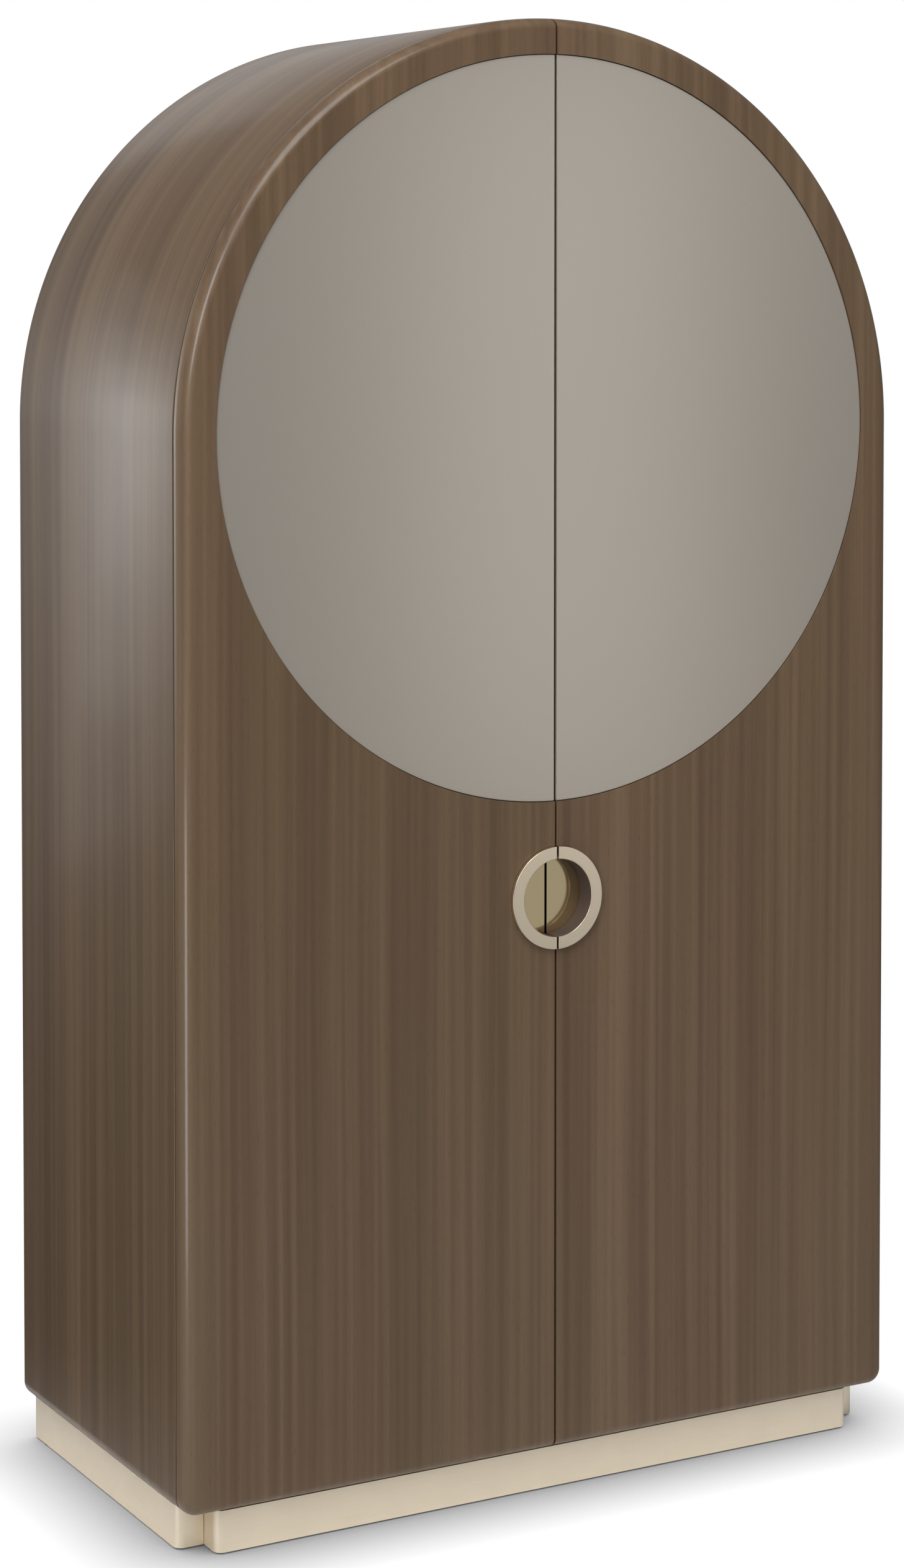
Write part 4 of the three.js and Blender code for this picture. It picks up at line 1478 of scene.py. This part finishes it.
screw_x = back_high.x - BACK_SCREW_INSET
path = [
    (-screw_x, back_low.z + BACK_SCREW_INSET),
    (screw_x, back_low.z + BACK_SCREW_INSET),
    *arc(0, SPRING_Z, screw_x, 0, 180, 96),
]
walk = line_mesh("back_screw_path", [(x, back_high.y, z) for x, z in path], closed=True)
back_screws = node_piece(
    "back_screws",
    outline_screws,
    {
        "Head": head,
        "Seed": 11,
        "Material": zinc,
        "Spacing": BACK_SCREW_SPACING,
        "Facing": (0, 1, 0),
    },
    walk,
)
present(back_screws, "carcass", "steel", zinc)
bpy.data.objects.remove(head)

# %% [markdown]
# ## Floor and light
# A studio sets the armoire on a white sweep and lights it with softboxes. The
# floor is a wide disc that looks plain white, with only the soft contact shadow
# that Ambient Occlusion finds beside the plinth, so that no horizon shows.
# Reflections seen from more than 0.2 m away find it darker, most of all behind the
# armoire, which is what black cards on the studio's floor would do.
# Satin lacquer shows every light as a soft patch, so the softboxes stand where
# their reflections are wanted: behind on the left for the side, behind on the
# right for the upper arch, low on the left for the doors' rounded edge, and in
# front on the right for the inlay, the ring and the plinth. The polished plates
# mirror a faint card low in front, and the bore's dark wall beside it.
# Behind the side, four softboxes stand one behind another, each smaller than the
# one before, so that the patch they make fades out softly.

# %% Floor
FLOOR_RADIUS = 30.0
CONTACT_SHADOW = 0.13  # distance over which the plinth darkens the floor
SHORT_RAY = 0.2  # metres; a reflection closer than this sees the floor as it is
NEAR_FLOOR, FAR_FLOOR, FAR_GLOW = 1.2, 3.2, 0.42
SIDE_FLOOR, BACK_FLOOR = 0.3, 1.4
HELD_BACK, HELD_BACK_BEHIND = 0.45, 0.5  # share reflections lose; extra share at the back
floor_mesh = bmesh.new()
bmesh.ops.create_circle(floor_mesh, cap_ends=True, segments=96, radius=FLOOR_RADIUS)
floor = object_of("floor", floor_mesh)
floor_material, floor_tree, floor_shader = new_material("white sweep")
floor_shader.inputs["Base Color"].default_value = srgb(238, 238, 238)
floor_shader.inputs["Roughness"].default_value = 0.8
floor_shader.inputs["Specular IOR Level"].default_value = 0.0
floor_path = add(floor_tree, "ShaderNodeLightPath").outputs
floor_place = add(floor_tree, "ShaderNodeTexCoord").outputs["Object"]


def floor_ramp(value, start, end):
    return add(
        floor_tree,
        "ShaderNodeMapRange",
        {"Value": value, "From Min": start, "From Max": end},
        interpolation_type="SMOOTHSTEP",
    ).outputs[0]


def glow(strength):
    return add(
        floor_tree, "ShaderNodeEmission", {"Color": (1, 1, 1, 1), "Strength": strength}
    ).outputs[0]


def mixed_shader(factor, first, second):
    return add(floor_tree, "ShaderNodeMixShader", {0: factor, 1: first, 2: second}).outputs[0]


distance = add(floor_tree, "ShaderNodeVectorMath", {0: floor_place}, operation="LENGTH")
far_out = floor_ramp(distance.outputs["Value"], NEAR_FLOOR, FAR_FLOOR)
sweep = mixed_shader(far_out, floor_shader.outputs[0], glow(FAR_GLOW))
floor_xyz = add(floor_tree, "ShaderNodeSeparateXYZ", {"Vector": floor_place}).outputs
diagonal = math_node(floor_tree, "SUBTRACT", floor_xyz["Y"], floor_xyz["X"])
at_the_back = floor_ramp(diagonal, SIDE_FLOOR, BACK_FLOOR)
held_back = math_node(floor_tree, "MULTIPLY_ADD", at_the_back, HELD_BACK_BEHIND, HELD_BACK)
far_away = math_node(floor_tree, "GREATER_THAN", floor_path["Ray Length"], SHORT_RAY)
glossy_far = math_node(floor_tree, "MULTIPLY", floor_path["Is Glossy Ray"], far_away)
dimming = math_node(floor_tree, "MULTIPLY", glossy_far, held_back)
sweep = mixed_shader(dimming, sweep, glow(0.0))
near_things = add(
    floor_tree, "ShaderNodeAmbientOcclusion", {"Distance": CONTACT_SHADOW}, samples=12
).outputs["AO"]
sweep = mixed_shader(floor_path["Is Camera Ray"], sweep, glow(near_things))
floor_tree.links.new(sweep, floor_tree.nodes["Material Output"].inputs["Surface"])
floor.data.materials.append(floor_material)
print("floor nodes:", len(floor_tree.nodes))

# %% World and softboxes
world = bpy.data.worlds.new("studio")
scene.world = world
world.use_nodes = True
world_tree = world.node_tree
seen = world_tree.nodes["Background"]
seen.inputs["Color"].default_value = (1, 1, 1, 1)
unseen = add(
    world_tree, "ShaderNodeBackground", {"Color": (0.95, 0.97, 1.0, 1), "Strength": 0.25}
)
world_mix = add(
    world_tree,
    "ShaderNodeMixShader",
    {
        0: add(world_tree, "ShaderNodeLightPath").outputs["Is Camera Ray"],
        1: unseen.outputs[0],
        2: seen.outputs[0],
    },
)
world_tree.links.new(world_mix.outputs[0], world_tree.nodes["World Output"].inputs["Surface"])


def softbox(name, place, aim, width, height, power, diffuse=True, glossy=True):
    lamp = bpy.data.lights.new(name, "AREA")
    lamp.shape = "RECTANGLE"
    lamp.size, lamp.size_y = width, height
    lamp.energy = power
    made = bpy.data.objects.new(name, lamp)
    made.location = place
    made.rotation_euler = (Vector(aim) - Vector(place)).to_track_quat("-Z", "Y").to_euler()
    made.visible_camera = False
    made.visible_diffuse, made.visible_glossy = diffuse, glossy
    scene.collection.objects.link(made)
    print(name, "at", place)
    return made


def light_only(lamp, ends=(), starts=()):
    """Lets a lamp light only the objects whose names end or start so."""
    lit = bpy.data.collections.new(lamp.name)
    for made in bpy.data.objects:
        if made.name.endswith(ends) or made.name.startswith(starts):
            lit.objects.link(made)
    lamp.light_linking.receiver_collection = lit


BEHIND_Y, STEP_BACK = 3.6, 0.02
SIDE_CARDS = (  # left, right, low, high, power
    (-3.7, -1.60, 0.15, 2.80, 8.2),
    (-3.5, -1.90, 0.50, 2.30, 7.8),
    (-3.4, -2.14, 0.80, 1.98, 6.0),
    (-3.3, -2.34, 1.00, 1.65, 3.6),
)
softbox("left key", (-4.0, -2.6, 3.2), (0, 0, 1.0), 1.4, 2.0, 92)
softbox("overhead", (-1.3, -1.7, 4.5), (0, 0, 0.8), 3.0, 2.2, 105)
softbox("low left", (-1.78, -0.62, 0.36), (-0.5, -0.2, 0.5), 0.42, 0.72, 8, diffuse=False)
for step, (left, right, low, high, power) in enumerate(SIDE_CARDS):
    across, up = (left + right) / 2, (low + high) / 2
    place = (across, BEHIND_Y + STEP_BACK * step, up)
    softbox(f"behind left {step}", place, (across, 0, up), right - left, high - low, power)
softbox("behind right", (1.1, BEHIND_Y, 3.25), (1.1, 0, 3.25), 2.4, 1.5, 5.4)
softbox("right fill", (3.4, -3.4, 2.6), (0.3, 0, 1.3), 2.0, 2.0, 46, glossy=False)
front_right = softbox("front right", (2.3, -4.1, 1.1), (0, 0, 1.1), 0.66, 2.5, 10.4)
light_only(front_right, ends=("_inlay_half", "_ring"), starts=("plinth_",))
low_front = softbox(
    "low front", (1.56, -2.87, 0.3), (0, -0.24, 0.79), 1.4, 0.9, 0.45, diffuse=False
)
light_only(low_front, ends=("_backplate",))
scene.view_settings.view_transform = "Standard"
